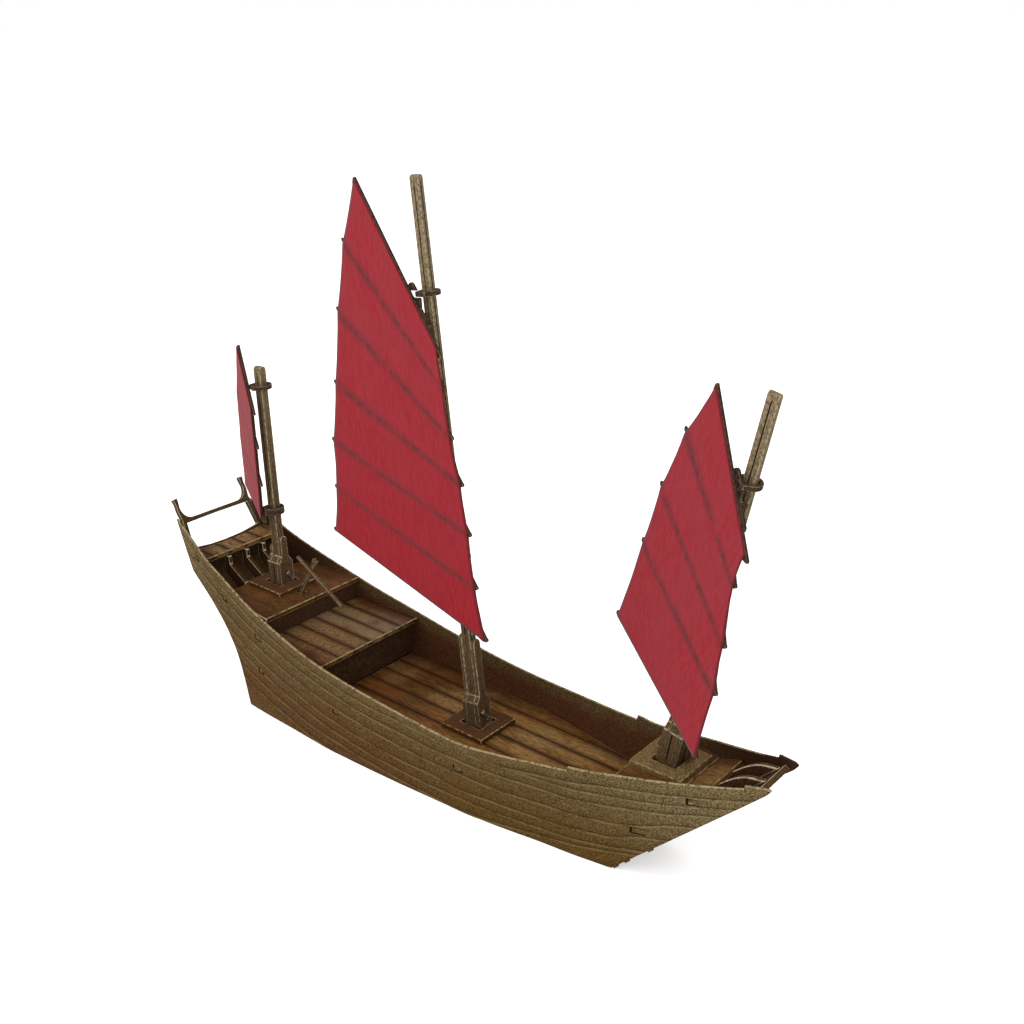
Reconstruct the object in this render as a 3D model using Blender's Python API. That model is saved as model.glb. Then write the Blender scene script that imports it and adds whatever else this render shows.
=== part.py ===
"""Laser-cut wooden model of a three-masted Chinese junk, with sails that swing and a rudder that turns.

X points to the bow, Y to port and Z up. The origin lies on the floor under the middle of the model.
Lengths in the tables and constants are millimetres; MM turns them into metres.
"""
import math

import bpy
import numpy as np
from mathutils import Matrix, Vector

MM = 0.001
GAP = 0.2              # air left between two glued pieces
SHEET = 2.0            # thickness of the laser-cut board
SIDE_SHEET = 1.0       # thickness of the bent hull sides
CLOTH = 0.4            # thickness of a sail sheet
STATION_X = 14.95      # the main mast's foot, forward of the origin

# Heights above the floor
BOTTOM_TOP = SHEET
MAIN_DECK_TOP = 22.0
SECOND_DECK_TOP = 38.0
AFT_DECK_TOP = 47.6
POOP_SEAT_TOP = 59.8
FORE_DECK_TOP = 41.4
BOW_DECK_TOP = 45.0

# Places along the hull, measured forward from the main mast's foot
STERN_TOP_X = -153.1
TRANSOM_FOOT_X = -142.8
BOTTOM_AFT_X = -108.2
BOTTOM_FORE_X = 71.4
STEM_TOP_X = 125.4
STEM_TOP_Z = 52.2
POOP_FRONT_X = -132.0
POOP_AFT_X = -143.0
RIB_FRONT_X = -130.9
AFT_DECK_FRONT_X = -89.6
AFT_DECK_AFT_X = -121.0
SECOND_DECK_FRONT_X = -57.2
FORE_DECK_AFT_X = 74.0
FORE_DECK_FRONT_X = 95.6
BOW_DECK_FRONT_X = 104.5
TIP_X = 125.7

# The gunwale: place along the hull, half breadth of the outer face, height
GUNWALE = [
    (-153.1, 18.8, 71.5),
    (-140.0, 20.9, 65.0),
    (-130.0, 22.3, 59.8),
    (-120.0, 23.4, 56.0),
    (-100.0, 26.0, 49.4),
    (-80.0, 27.7, 44.1),
    (-60.0, 28.9, 40.1),
    (-40.0, 28.8, 37.1),
    (-20.0, 28.2, 35.0),
    (0.0, 27.8, 33.6),
    (15.0, 27.5, 33.3),
    (30.0, 25.6, 34.4),
    (45.0, 23.1, 36.0),
    (57.4, 21.2, 37.4),
    (70.0, 18.9, 39.9),
    (90.0, 16.3, 44.2),
    (110.0, 12.7, 48.9),
    (118.0, 11.2, 51.2),
    (127.6, 8.8, 53.9),
]
# How much the side leans in for each millimetre down, by place along the hull
FLARE = [(-153, 0.0), (-120, 0.01), (-108, 0.038), (-80, 0.074), (-50, 0.098), (-20, 0.115), (0, 0.145),
         (20, 0.17), (40, 0.16), (55, 0.143), (70, 0.128), (85, 0.15), (100, 0.165), (128, 0.165)]
RAISED_RAIL = (57.4, 0.7)    # where the bow rail steps up, and by how much
RAIL_STEP = (1.0, 9.0)       # how much higher the rail is at its step, and how far ahead that fades
TIP_ROUND = 1.9              # length of the end lug's rounded tip
END_LUG = (117.8, 1.9)       # where the end lug steps up, and by how much
# The stern's profile from the transom's foot down to the bottom's aft corner: place, height
STERN_CURVE = [(-142.8, 51.2), (-133.5, 45.4), (-125.1, 38.9), (-117.5, 30.4), (-111.6, 18.0), (-109.4, 7.0),
               (-108.2, 0.0)]
END_INSET = 0.8              # how far the end boards sit inside the sides' edges
TRANSOM_INSET = 1.4          # the transom's middle, ahead of the sides' aft edges
TRANSOM_START = 1.2          # where the transom's board begins, above the stern curve's end

# Masts: foot on the main mast's scale, height of the foot plate's top, rake, height of the mast
MASTS = [
    ("main", -0.3, 24.0, -7.05, 200.1),
    ("fore", 84.5, 43.4, 11.62, 133.9),
    ("mizzen", -109.6, 49.6, -2.39, 92.1),
]
PLATE_SIDE = 20.0
PLATE_HOLE = 9.6
FOOT_HALF = 3.5
FOOT_HEIGHT = {"main": 9.0, "fore": 12.0, "mizzen": 9.0}
SHAFT_HALF = {"main": (1.8, 1.3), "fore": (1.8, 1.3), "mizzen": (1.7, 1.6)}
CHEEK_TOP = {"main": (34.2, 35.3), "fore": (15.0, 16.6), "mizzen": (20.5, 16.0)}
# Wedges in the plates' holes: mast, place across and height of the middle, length
PEGS = [("main", -0.3, 27.9, 5.8), ("mizzen", 1.2, 52.5, 5.0)]
PEG_TURN = 36.0
# Rounded lugs before and abaft the fore mast: side, middle across, outline as (out from the axis, up)
FORE_LUGS = [
    ("fore", -1, 2.2, [(4.1, 1.0), (6.6, 1.5), (6.6, 4.0), (6.1, 5.2), (5.2, 6.0), (4.1, 6.2)]),
    ("aft", 1, 1.6, [(4.1, 0.4), (6.4, 0.6), (6.4, 3.0), (5.7, 4.6), (4.1, 5.0)]),
]

# Sails: swing to port, heights of the two rings and their thickness, the bracket that carries the upper ring
# (from and to, along the yard from the ring, then how far its outer and inner edge lie inside the yard's line),
# how far the luff's lugs stick out, then one row for each batten from the boom up, as (luff along, luff up,
# leech along, leech up), and the yard's foot and peak
SAILS = {
    "main": {
        "swing": 6.0,
        "rings": (161.3, 66.0),
        "ring_sheet": (1.8, 1.8),
        "doubler": (-13.2, 3.8, -2.5, 1.6),
        "lug": 0.5,
        "battens": [(-15.9, 39.0, 67.2, 65.8), (-13.7, 58.6, 62.3, 84.3), (-13.3, 78.4, 59.7, 103.6),
                    (-12.1, 96.5, 53.1, 126.5), (-9.5, 112.8, 45.5, 153.9), (-8.7, 129.6, 36.9, 178.3)],
        "yard": (-7.1, 143.0, 26.4, 199.8),
        "range": (-64.0, 76.0),
    },
    "fore": {
        "swing": 24.0,
        "rings": (104.8, 32.0),
        "ring_sheet": (1.8, 1.8),
        "doubler": (-14.6, 4.2, -2.2, 2.2),
        "lug": 0.5,
        "battens": [(-17.0, 15.6, 38.3, 31.8), (-16.9, 41.2, 34.4, 63.4), (-14.8, 57.6, 32.2, 85.6),
                    (-11.7, 77.2, 27.2, 107.4)],
        "yard": (-12.0, 88.6, 19.1, 127.1),
        "range": (-46.0, 94.0),
    },
    "mizzen": {
        "swing": 27.0,
        "rings": (84.0, 31.6),
        "ring_sheet": (1.8, 2.8),
        "doubler": None,
        "lug": 2.2,
        "battens": [(-1.2, 28.2, 26.6, 35.4), (-2.8, 44.6, 25.2, 57.0), (-3.8, 60.8, 21.8, 77.0)],
        "yard": (-4.4, 76.6, 11.6, 98.3),
        "range": (-43.0, 97.0),
    },
}
SAIL_OFFSET = 6.0        # the sheet's middle, starboard of the mast's axis
RING_WALL = 1.1
RING_PLAY = 0.35
RING_FOOT = 2.4          # half the length of the ring's foot on the sail's frame
FRAME_SHEET = 1.1        # thickness of yard, luff and battens
SPAR_WIDTH = 1.6
LUFF_INSET = 1.9         # how far the luff's spar lies behind the sheet's edge
LUFF_WIDTH = 2.0
LUG_RISE = 3.6           # height of a lug's slope above its batten
TIP_LENGTH = 1.8
YARD_EDGE = 0.5          # how far the yard's outer edge lies outside the yard's line
SHEET_EDGE = 0.7         # how far the sheet reaches outside the yard's line
YARD_WIDTH = 2.1
DOUBLER_SHEET = 0.9      # thickness of the upper ring's bracket

# The rudder: its stock passes the aft deck on the centre line and leans forward at the top
STOCK_DECK_X = -97.4
STOCK_RAKE = 30.3
STOCK_TOP = 20.2         # above the aft deck, along the stock
STOCK_SIZE = 1.4
STOCK_HEAD = (1.15, 1.6)     # half width and height of the stock's notched head
SLOT_HALF = 1.2          # half the opening that the stock passes through
TILLER_ALONG = 14.8      # where the tiller crosses the stock, above the deck
TILLER_REACH = (7.8, 21.0)   # aft and forward of the stock
TILLER_SIZE = 1.2
RUDDER_RANGE = 28.0

MATERIALS = {
    # name: colour, roughness
    "hull": ((0.21, 0.155, 0.075), 0.8),
    "deck": ((0.17, 0.085, 0.042), 0.75),
    "frame": ((0.12, 0.07, 0.04), 0.8),
    "mast": ((0.19, 0.16, 0.10), 0.8),
    "spar": ((0.055, 0.035, 0.03), 0.8),
    "sail": ((0.42, 0.035, 0.055), 0.85),
}


def clear_scene():
    """Remove the objects that the file starts with."""
    for item in list(bpy.data.objects):
        bpy.data.objects.remove(item, do_unlink=True)


def new_collection(name):
    group = bpy.data.collections.new(name)
    bpy.context.scene.collection.children.link(group)
    return group


def make_material(key):
    """A Principled material with the piece's colour."""
    name = "paint_" + key
    if name in bpy.data.materials:
        return bpy.data.materials[name]
    colour, roughness = MATERIALS[key]
    made = bpy.data.materials.new(name)
    made.use_nodes = True
    shader = made.node_tree.nodes["Principled BSDF"]
    shader.inputs["Base Color"].default_value = (*colour, 1.0)
    shader.inputs["Roughness"].default_value = roughness
    shader.inputs["Metallic"].default_value = 0.0
    made.diffuse_color = (*colour, 1.0)
    return made


def curve_through(table, x, column=1):
    """Smooth value of a table's column at x: cubic pieces with averaged slopes."""
    places = [row[0] for row in table]
    values = [row[column] for row in table]
    steps = np.diff(values) / np.diff(places)
    slopes = [steps[0]] + [(a + b) / 2 for a, b in zip(steps, steps[1:])] + [steps[-1]]
    i = int(np.clip(np.searchsorted(places, x) - 1, 0, len(places) - 2))
    width = places[i + 1] - places[i]
    t = min(max((x - places[i]) / width, 0.0), 1.0)
    return ((2 * t ** 3 - 3 * t ** 2 + 1) * values[i] + (t ** 3 - 2 * t ** 2 + t) * width * slopes[i]
            + (3 * t ** 2 - 2 * t ** 3) * values[i + 1] + (t ** 3 - t ** 2) * width * slopes[i + 1])


def rail_height(x):
    """Height of the gunwale, with the raised bow rail and the end lug."""
    height = curve_through(GUNWALE, x, 2)
    if x > RAISED_RAIL[0]:
        height += RAISED_RAIL[1] + RAIL_STEP[0] * max(0.0, 1 - (x - RAISED_RAIL[0]) / RAIL_STEP[1])
    if x > END_LUG[0]:
        height += END_LUG[1] - RAISED_RAIL[1] - 1.3 * (x - END_LUG[0]) / (TIP_X - END_LUG[0])
    return height


def half_breadth(x, z):
    """Half breadth of the hull's outer face."""
    flare = float(np.interp(x, [row[0] for row in FLARE], [row[1] for row in FLARE]))
    return curve_through(GUNWALE, x, 1) - flare * (curve_through(GUNWALE, x, 2) - z)


def inside(x, z):
    """Half breadth that is left between the hull's sides."""
    return half_breadth(x, z) - SIDE_SHEET - GAP


def keel_height(x):
    """Lower edge of the hull's side: stern profile, flat bottom, raked stem."""
    if x < TRANSOM_FOOT_X:
        share = (x - STERN_TOP_X) / (TRANSOM_FOOT_X - STERN_TOP_X)
        return 71.3 + share * (STERN_CURVE[0][1] - 71.3)
    if x < BOTTOM_AFT_X:
        return curve_through(STERN_CURVE, x)
    if x > BOTTOM_FORE_X:
        return (x - BOTTOM_FORE_X) / (STEM_TOP_X - BOTTOM_FORE_X) * STEM_TOP_Z
    return 0.0


def side_heights(x):
    """Lower and upper edge of the side sheet, with the end lug's tip rounded off."""
    low = keel_height(x)
    high = max(rail_height(x), low + 0.3)
    if x > TIP_X - TIP_ROUND:
        share = min((x - TIP_X + TIP_ROUND) / TIP_ROUND, 1.0)
        middle = (low + high) / 2
        half = (high - low) / 2 * max(math.sqrt(1 - share ** 2), 0.12)
        return middle - half, middle + half
    return low, high


def world(x, y, z):
    """A point given from the main mast's foot, in metres in the model's frame."""
    return Vector(((x + STATION_X) * MM, y * MM, z * MM))


def frame_at(origin, along, up):
    """Matrix of a flat piece: its outline runs along and up, and its thickness across."""
    along = Vector(along).normalized()
    up = Vector(up).normalized()
    across = along.cross(up)
    matrix = Matrix((along, up, across)).transposed().to_4x4()
    matrix.translation = origin
    return matrix


def flat_piece(name, outlines, thickness, matrix, material, parent=None):
    """A laser-cut piece: closed outlines in millimetres, the first one outside and the others holes."""
    shape = bpy.data.curves.new(name, "CURVE")
    shape.dimensions = "2D"
    shape.fill_mode = "BOTH"
    shape.extrude = thickness * MM / 2
    for outline in outlines:
        spline = shape.splines.new("POLY")
        spline.points.add(len(outline) - 1)
        for point, (u, v) in zip(spline.points, outline):
            point.co = (u * MM, v * MM, 0.0, 1.0)
        spline.use_cyclic_u = True
    return place(name, shape, matrix, material, parent)


def place(name, data, matrix, material, parent=None):
    """Link an object with its material at a world matrix, on its parent."""
    item = bpy.data.objects.new(name, data)
    PARTS.objects.link(item)
    data.materials.append(make_material(material))
    if parent is not None:
        item.parent = parent
        item.matrix_parent_inverse = parent.matrix_world.inverted()
    item.matrix_world = matrix
    return item


def mesh_from_rows(name, rows, material, closed_ends=True):
    """Skin rows of points, each row a closed ring, into one closed body."""
    count = len(rows[0])
    points = [tuple(point) for row in rows for point in row]
    faces = []
    for r in range(len(rows) - 1):
        for c in range(count):
            d = (c + 1) % count
            faces.append((r * count + c, r * count + d, (r + 1) * count + d, (r + 1) * count + c))
    if closed_ends:
        faces.append(tuple(reversed(range(count))))
        faces.append(tuple((len(rows) - 1) * count + c for c in range(count)))
    mesh = bpy.data.meshes.new(name)
    mesh.from_pydata(points, [], faces)
    mesh.update()
    return place(name, mesh, Matrix.Identity(4), material)


def box(name, centre, along, up, size):
    """A cutting block, its size given along, up and across."""
    mesh = bpy.data.meshes.new(name)
    signs = [(i, j, k) for i in (-1, 1) for j in (-1, 1) for k in (-1, 1)]
    points = [(a * size[0] / 2 * MM, b * size[1] / 2 * MM, c * size[2] / 2 * MM) for a, b, c in signs]
    faces = [(0, 1, 3, 2), (4, 6, 7, 5), (0, 4, 5, 1), (2, 3, 7, 6), (0, 2, 6, 4), (1, 5, 7, 3)]
    mesh.from_pydata(points, [], faces)
    mesh.update()
    item = bpy.data.objects.new(name, mesh)
    CUTTERS.objects.link(item)
    item.matrix_world = frame_at(centre, along, up)
    item.hide_render = True
    item.display_type = "WIRE"
    return item


def cut(item, cutter):
    modifier = item.modifiers.new(cutter.name, "BOOLEAN")
    modifier.operation = "DIFFERENCE"
    modifier.solver = "EXACT"
    modifier.object = cutter


def empty_at(name, matrix):
    item = bpy.data.objects.new(name, None)
    PARTS.objects.link(item)
    item.matrix_world = matrix
    item.empty_display_size = 0.01
    bpy.context.view_layer.update()
    return item


def side_stations():
    """Places along the side, with a pair of places at each step of the rail."""
    places = list(np.linspace(STERN_TOP_X, TRANSOM_FOOT_X, 4))
    places += list(np.linspace(TRANSOM_FOOT_X, BOTTOM_AFT_X, 13)[1:])
    places += list(np.linspace(BOTTOM_AFT_X, BOTTOM_FORE_X, 24)[1:])
    places += list(np.linspace(BOTTOM_FORE_X, TIP_X - TIP_ROUND, 10)[1:])
    places += [TIP_X - TIP_ROUND * share for share in (0.6, 0.3, 0.1, 0.0)]
    for step in (RAISED_RAIL[0], END_LUG[0]):
        places = [x for x in places if abs(x - step) > 1.2]
        places += [step - 0.3, step + 0.3]
    return sorted(places)


def hull_side(name, sign):
    """One bent side sheet, between the gunwale and the lower edge."""
    rows = []
    for x in side_stations():
        low, high = side_heights(x)
        ring = [(half_breadth(x, low), low), (half_breadth(x, high), high),
                (half_breadth(x, high) - SIDE_SHEET, high), (half_breadth(x, low) - SIDE_SHEET, low)]
        if sign < 0:
            ring.reverse()
        rows.append([world(x, sign * y, z) for y, z in ring])
    return mesh_from_rows(name, rows, "hull")


def plan_outline(z, aft, front, steps=12):
    """Outline of a deck between the sides, along and to port."""
    places = np.linspace(aft, front, steps)
    port = [(x, inside(x, z)) for x in places]
    return port[::-1] + [(x, -y) for x, y in port]


def deck(name, top, aft, front, material="deck", thickness=SHEET):
    """A flat deck, cut to the narrower breadth at its underside."""
    outline = plan_outline(top - thickness, aft, front)
    matrix = frame_at(world(0, 0, top - thickness / 2), (1, 0, 0), (0, 1, 0))
    return flat_piece(name, [outline], thickness, matrix, material)


def bulkhead(name, x, low, high, material="deck"):
    """A board across the hull; its aft and fore faces are both inside the sides."""
    widths = [(z, min(inside(x - SHEET / 2, z), inside(x + SHEET / 2, z))) for z in np.linspace(low, high, 4)]
    outline = [(y, z) for z, y in widths] + [(-y, z) for z, y in reversed(widths)]
    matrix = frame_at(world(x, 0, 0), (0, 1, 0), (0, 0, 1))
    return flat_piece(name, [outline], SHEET, matrix, material)


def hull():
    hull_side("hull_side_port", 1)
    hull_side("hull_side_starboard", -1)
    # The bottom stops short of the stern and bow boards that stand on its ends
    outline = [(x, half_breadth(x, 0) - SIDE_SHEET - GAP)
               for x in np.linspace(BOTTOM_AFT_X + SHEET + END_INSET + 3 * GAP, BOTTOM_FORE_X - 2.2, 18)]
    outline = outline[::-1] + [(x, -y) for x, y in outline]
    flat_piece("hull_bottom", [outline], SHEET, frame_at(world(0, 0, SHEET / 2), (1, 0, 0), (0, 1, 0)), "hull")
    bow_board()
    stern_counter()
    transom()


def bow_board():
    """The raked board that closes the bow, from the floor to the beam between the tips."""
    slope = math.atan2(STEM_TOP_Z, STEM_TOP_X - BOTTOM_FORE_X)
    length = math.hypot(STEM_TOP_Z, STEM_TOP_X - BOTTOM_FORE_X)
    outline = []
    for share in np.linspace(0.02, 0.97, 9):
        x = BOTTOM_FORE_X + share * (STEM_TOP_X - BOTTOM_FORE_X)
        z = share * STEM_TOP_Z
        depth = SHEET + END_INSET
        inner = inside(x - depth * math.sin(slope), z + depth * math.cos(slope))
        outline.append((share * length, min(inside(x + 0.3, z), inner) - 0.15))
    outline = outline[::-1] + [(u, -y) for u, y in outline]
    along = Vector((math.cos(slope), 0, math.sin(slope)))
    up = Vector((0, 1, 0))
    inward = Vector((-math.sin(slope), 0, math.cos(slope)))
    origin = world(BOTTOM_FORE_X, 0, 0) + inward * ((SHEET / 2 + END_INSET) * MM)
    flat_piece("bow_board", [outline], SHEET, frame_at(origin, along, up), "hull")


def stern_point(share):
    """A point of the stern's profile and its inward normal, from the bottom (0) to the transom (1)."""
    x = BOTTOM_AFT_X + share * (TRANSOM_FOOT_X - BOTTOM_AFT_X)
    ahead = 0.4
    z = curve_through(STERN_CURVE, x)
    slope = (curve_through(STERN_CURVE, x + ahead) - curve_through(STERN_CURVE, x - ahead)) / (2 * ahead)
    normal = Vector((-slope, 0, 1)).normalized()
    return x, z, normal


def counter_ring(outer, inner):
    """One row across the counter, from points (place, height) of its outer and inner face."""
    y_out = inside(*outer) - 0.15
    y_in = inside(*inner) - 0.15
    ring = [(outer[0], y_out, outer[1]), (outer[0], -y_out, outer[1]),
            (inner[0], -y_in, inner[1]), (inner[0], y_in, inner[1])]
    return [world(*point) for point in ring]


def transom_frame():
    """Directions up and ahead of the raked transom."""
    rake = Vector((STERN_TOP_X - TRANSOM_FOOT_X, 0, GUNWALE[0][2] - STERN_CURVE[0][1])).normalized()
    return rake, Vector((rake.z, 0, -rake.x))


def stern_counter():
    """The curved boards under the stern, bent along the sides' aft edges."""
    rows = []
    for share in np.linspace(0.02, 0.95, 14) ** 1.3:
        x, z, normal = stern_point(share)
        outer = (x + normal.x * END_INSET, z + normal.z * END_INSET)
        inner = (outer[0] + normal.x * SHEET, outer[1] + normal.z * SHEET)
        rows.append(counter_ring(outer, inner))
    rake, forward = transom_frame()
    foot = Vector((TRANSOM_FOOT_X, 0, STERN_CURVE[0][1])) + rake * (TRANSOM_START - 1.25 * GAP)
    outer = foot + forward * (TRANSOM_INSET - SHEET / 2 + 0.3)
    inner = foot + forward * (TRANSOM_INSET + SHEET / 2 + 0.1)
    rows.append(counter_ring((outer.x, outer.z), (inner.x, inner.z)))
    counter = mesh_from_rows("stern_counter", rows, "hull")
    rake = math.radians(STOCK_RAKE)
    up = Vector((math.sin(rake), 0, math.cos(rake)))
    forward = Vector((math.cos(rake), 0, -math.sin(rake)))
    slot = box("cutter_stock_slot", world(STOCK_DECK_X, 0, AFT_DECK_TOP) - up * (31 * MM),
               forward, up, (2 * SLOT_HALF, 16.0, 2 * SLOT_HALF))
    cut(counter, slot)


def transom():
    """The raked transom, whose upper part is the open frame of two slender posts and a rail."""
    rake, forward = transom_frame()
    length = math.hypot(STERN_TOP_X - TRANSOM_FOOT_X, GUNWALE[0][2] - STERN_CURVE[0][1])
    top = 30.9

    def width(v):
        x = TRANSOM_FOOT_X + rake.x * min(v, length)
        z = STERN_CURVE[0][1] + rake.z * min(v, length)
        return inside(x + SHEET, z) - 0.2

    seat = 9.0
    rail_low = 19.7
    rail_high = 21.6
    side = [(width(v), v) for v in np.linspace(TRANSOM_START, 21.6, 5)]
    head = [(18.3, 25.4), (18.1, 28.6), (18.5, top), (16.4, top + 0.2), (16.4, 29.4)]
    fillet = [(16.8 - 4.4 * (1 - math.cos(a)), rail_high + 5.2 * (1 - math.sin(a)))
              for a in np.linspace(0, math.pi / 2, 6)]
    right = side + head + fillet
    outline = right + [(-y, v) for y, v in reversed(right)]
    hole = [(-17.2, seat), (-9.0, seat - 1.0), (0.0, seat - 1.3), (9.0, seat - 1.0), (17.2, seat),
            (16.1, rail_low), (0.0, rail_low + 0.2), (-16.1, rail_low)]
    origin = world(TRANSOM_FOOT_X, 0, STERN_CURVE[0][1]) + forward * (TRANSOM_INSET * MM)
    flat_piece("stern_frame", [outline, hole], SHEET, frame_at(origin, (0, 1, 0), rake), "frame")


def decks():
    deck("main_deck", MAIN_DECK_TOP, SECOND_DECK_FRONT_X - 1.6, FORE_DECK_AFT_X - 0.4)
    bulkhead("second_bulkhead", SECOND_DECK_FRONT_X - SHEET - 0.8, MAIN_DECK_TOP + GAP,
             SECOND_DECK_TOP - SHEET - GAP)
    deck("second_deck", SECOND_DECK_TOP, AFT_DECK_FRONT_X - 3.4, SECOND_DECK_FRONT_X)
    bulkhead("aft_bulkhead", AFT_DECK_FRONT_X - SHEET / 2 - 0.8, SECOND_DECK_TOP + GAP,
             AFT_DECK_TOP - SHEET - GAP)
    aft_deck()
    poop_seat()
    bulkhead("fore_bulkhead", FORE_DECK_AFT_X + SHEET / 2 + 0.8, BOTTOM_TOP + GAP + 18.4,
             FORE_DECK_TOP - SHEET - GAP)
    deck("fore_deck", FORE_DECK_TOP, FORE_DECK_AFT_X, FORE_DECK_FRONT_X - 0.2)
    bow_deck()


def aft_deck():
    """The aft deck, with a hole for the rudder's stock."""
    z = AFT_DECK_TOP - SHEET
    outline = plan_outline(z, AFT_DECK_AFT_X, AFT_DECK_FRONT_X)
    aft, fore, half = STOCK_DECK_X - 2.7, STOCK_DECK_X + 1.5, SLOT_HALF
    hole = [(aft, -half), (fore, -half), (fore, half), (aft, half)]
    matrix = frame_at(world(0, 0, AFT_DECK_TOP - SHEET / 2), (1, 0, 0), (0, 1, 0))
    flat_piece("aft_deck", [outline, hole], SHEET, matrix, "deck")


def poop_seat():
    """The seat across the stern, with its aft edge slightly hollow."""
    z = POOP_SEAT_TOP - SHEET
    places = np.linspace(POOP_AFT_X, POOP_FRONT_X, 6)
    port = [(POOP_AFT_X + 1.2, 8.0)] + [(x, inside(x, z)) for x in places]
    port[1] = (POOP_AFT_X, inside(POOP_AFT_X, z) - 0.4)
    outline = port[::-1] + [(POOP_AFT_X + 1.6, 0.0)] + [(x, -y) for x, y in port]
    matrix = frame_at(world(0, 0, POOP_SEAT_TOP - SHEET / 2), (1, 0, 0), (0, 1, 0))
    flat_piece("poop_seat", [outline], SHEET, matrix, "deck")


def bow_deck():
    """The short deck that climbs from the fore deck to the bow knees, with slots for the knees."""
    rise = BOW_DECK_TOP - FORE_DECK_TOP
    run = BOW_DECK_FRONT_X - FORE_DECK_FRONT_X
    slope = math.atan2(rise, run)
    length = math.hypot(rise, run)
    outline = []
    for share in np.linspace(0.02, 1.0, 5):
        x = FORE_DECK_FRONT_X + share * run
        z = FORE_DECK_TOP + share * rise - SHEET - 0.4
        outline.append((share * length, inside(x + 0.6, z)))
    outline = outline[::-1] + [(u, -y) for u, y in outline]
    along = Vector((math.cos(slope), 0, math.sin(slope)))
    down = Vector((math.sin(slope), 0, -math.cos(slope)))
    origin = world(FORE_DECK_FRONT_X, 0, FORE_DECK_TOP) + down * (SHEET / 2 * MM)
    flat_piece("bow_deck", [outline], SHEET, frame_at(origin, along, (0, 1, 0)), "deck")


def stern_ribs():
    """Three brackets that carry the poop seat and slope down to the aft deck."""
    under_seat = POOP_SEAT_TOP - SHEET - GAP
    for name, y in (("stern_rib_starboard", -9.4), ("stern_rib_middle", 0.0), ("stern_rib_port", 8.8)):
        curve = []
        for share in np.linspace(0.30, 0.80, 6):
            x, z, normal = stern_point(share)
            lift = SHEET + END_INSET + 2 * GAP
            curve.append((x + normal.x * lift, z + normal.z * lift))
        foot_x = AFT_DECK_AFT_X - GAP
        curve = [point for point in curve if point[0] < foot_x - 0.5]
        outline = [(RIB_FRONT_X, under_seat), (RIB_FRONT_X, under_seat - 3.6),
                   (foot_x, AFT_DECK_TOP + 0.6), (foot_x, curve[0][1])]
        outline += curve
        outline.append((curve[-1][0], under_seat))
        flat_piece(name, [outline], SHEET * 0.8, frame_at(world(0, y, 0), (1, 0, 0), (0, 0, 1)), "deck")


def bow_knees():
    """Two arched knees between the bow deck's edge and the bow board."""
    slope = STEM_TOP_Z / (STEM_TOP_X - BOTTOM_FORE_X)
    start = (BOW_DECK_FRONT_X + 1.0, BOW_DECK_TOP)

    def board_x(z):
        return BOTTOM_FORE_X + z / slope - (SHEET + END_INSET + 2 * GAP) / math.sin(math.atan(slope))

    end_z = 52.8
    end = (board_x(end_z), end_z)
    chord = (end[0] - start[0], end[1] - start[1])
    arch = []
    for t in np.linspace(0.0, 1.0, 9):
        lift = 2.2 * math.sin(math.pi * t)
        arch.append((start[0] + chord[0] * t, start[1] + chord[1] * t + lift))
    foot_z = 34.0
    outline = arch + [(board_x(foot_z), foot_z), (start[0], foot_z)]
    if board_x(foot_z) < start[0]:
        foot_z = (start[0] + 1.5 - board_x(0.0)) * slope
        outline = arch + [(board_x(foot_z), foot_z), (start[0], foot_z)]
    for name, y in (("bow_knee_starboard", -4.4), ("bow_knee_port", 4.4)):
        flat_piece(name, [outline], SHEET * 0.9, frame_at(world(0, y, 0), (1, 0, 0), (0, 0, 1)), "deck")


def mast_frame(foot_x, foot_z, rake):
    """The mast's own frame: aft, port, and up along the mast."""
    angle = math.radians(rake)
    up = Vector((math.sin(angle), 0, math.cos(angle)))
    aft = Vector((-math.cos(angle), 0, math.sin(angle)))
    return world(foot_x, 0, foot_z), aft, up


def square(half):
    return [(-half, -half), (half, -half), (half, half), (-half, half)]


def mast(name, foot_x, foot_z, rake, height):
    """A foot plate, the glued core layers, and a cheek before and abaft them."""
    plate_matrix = frame_at(world(foot_x, 0, foot_z - SHEET / 2), (1, 0, 0), (0, 1, 0))
    flat_piece("mast_plate_" + name, [square(PLATE_SIDE / 2), square(PLATE_HOLE / 2)], SHEET, plate_matrix, "mast")
    origin, aft, up = mast_frame(foot_x, foot_z, rake)
    low, high = SHAFT_HALF[name]
    foot = -SHEET + 1.1
    shoulder = FOOT_HEIGHT[name]
    core = [(FOOT_HALF, foot), (FOOT_HALF, shoulder), (low, shoulder + 2.4), (low, 36.0),
            (high, height - 1.1), (high - 0.3, height - 0.35), (high - 0.9, height)]
    outline = core + [(-y, z) for y, z in reversed(core)]
    flat_piece("mast_" + name, [outline], 2 * SHEET, frame_at(origin, (0, 1, 0), up), "mast")
    for label, sign, top in (("fore", -1, CHEEK_TOP[name][0]), ("aft", 1, CHEEK_TOP[name][1])):
        cheek = [(FOOT_HALF, foot), (FOOT_HALF, shoulder), (low, shoulder + 2.4)]
        cheek += [(low * math.cos(a), top - low + low * math.sin(a)) for a in np.linspace(0, 1.4, 4)]
        outline = cheek + [(-y, z) for y, z in reversed(cheek)]
        centre = origin + aft * (sign * (1.5 * SHEET + GAP) * MM)
        thickness = SHEET * 0.8
        centre -= aft * (sign * (SHEET - thickness) / 2 * MM)
        flat_piece("mast_%s_cheek_%s" % (name, label), [outline], thickness,
                   frame_at(centre, (0, 1, 0), up), "mast")


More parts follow.
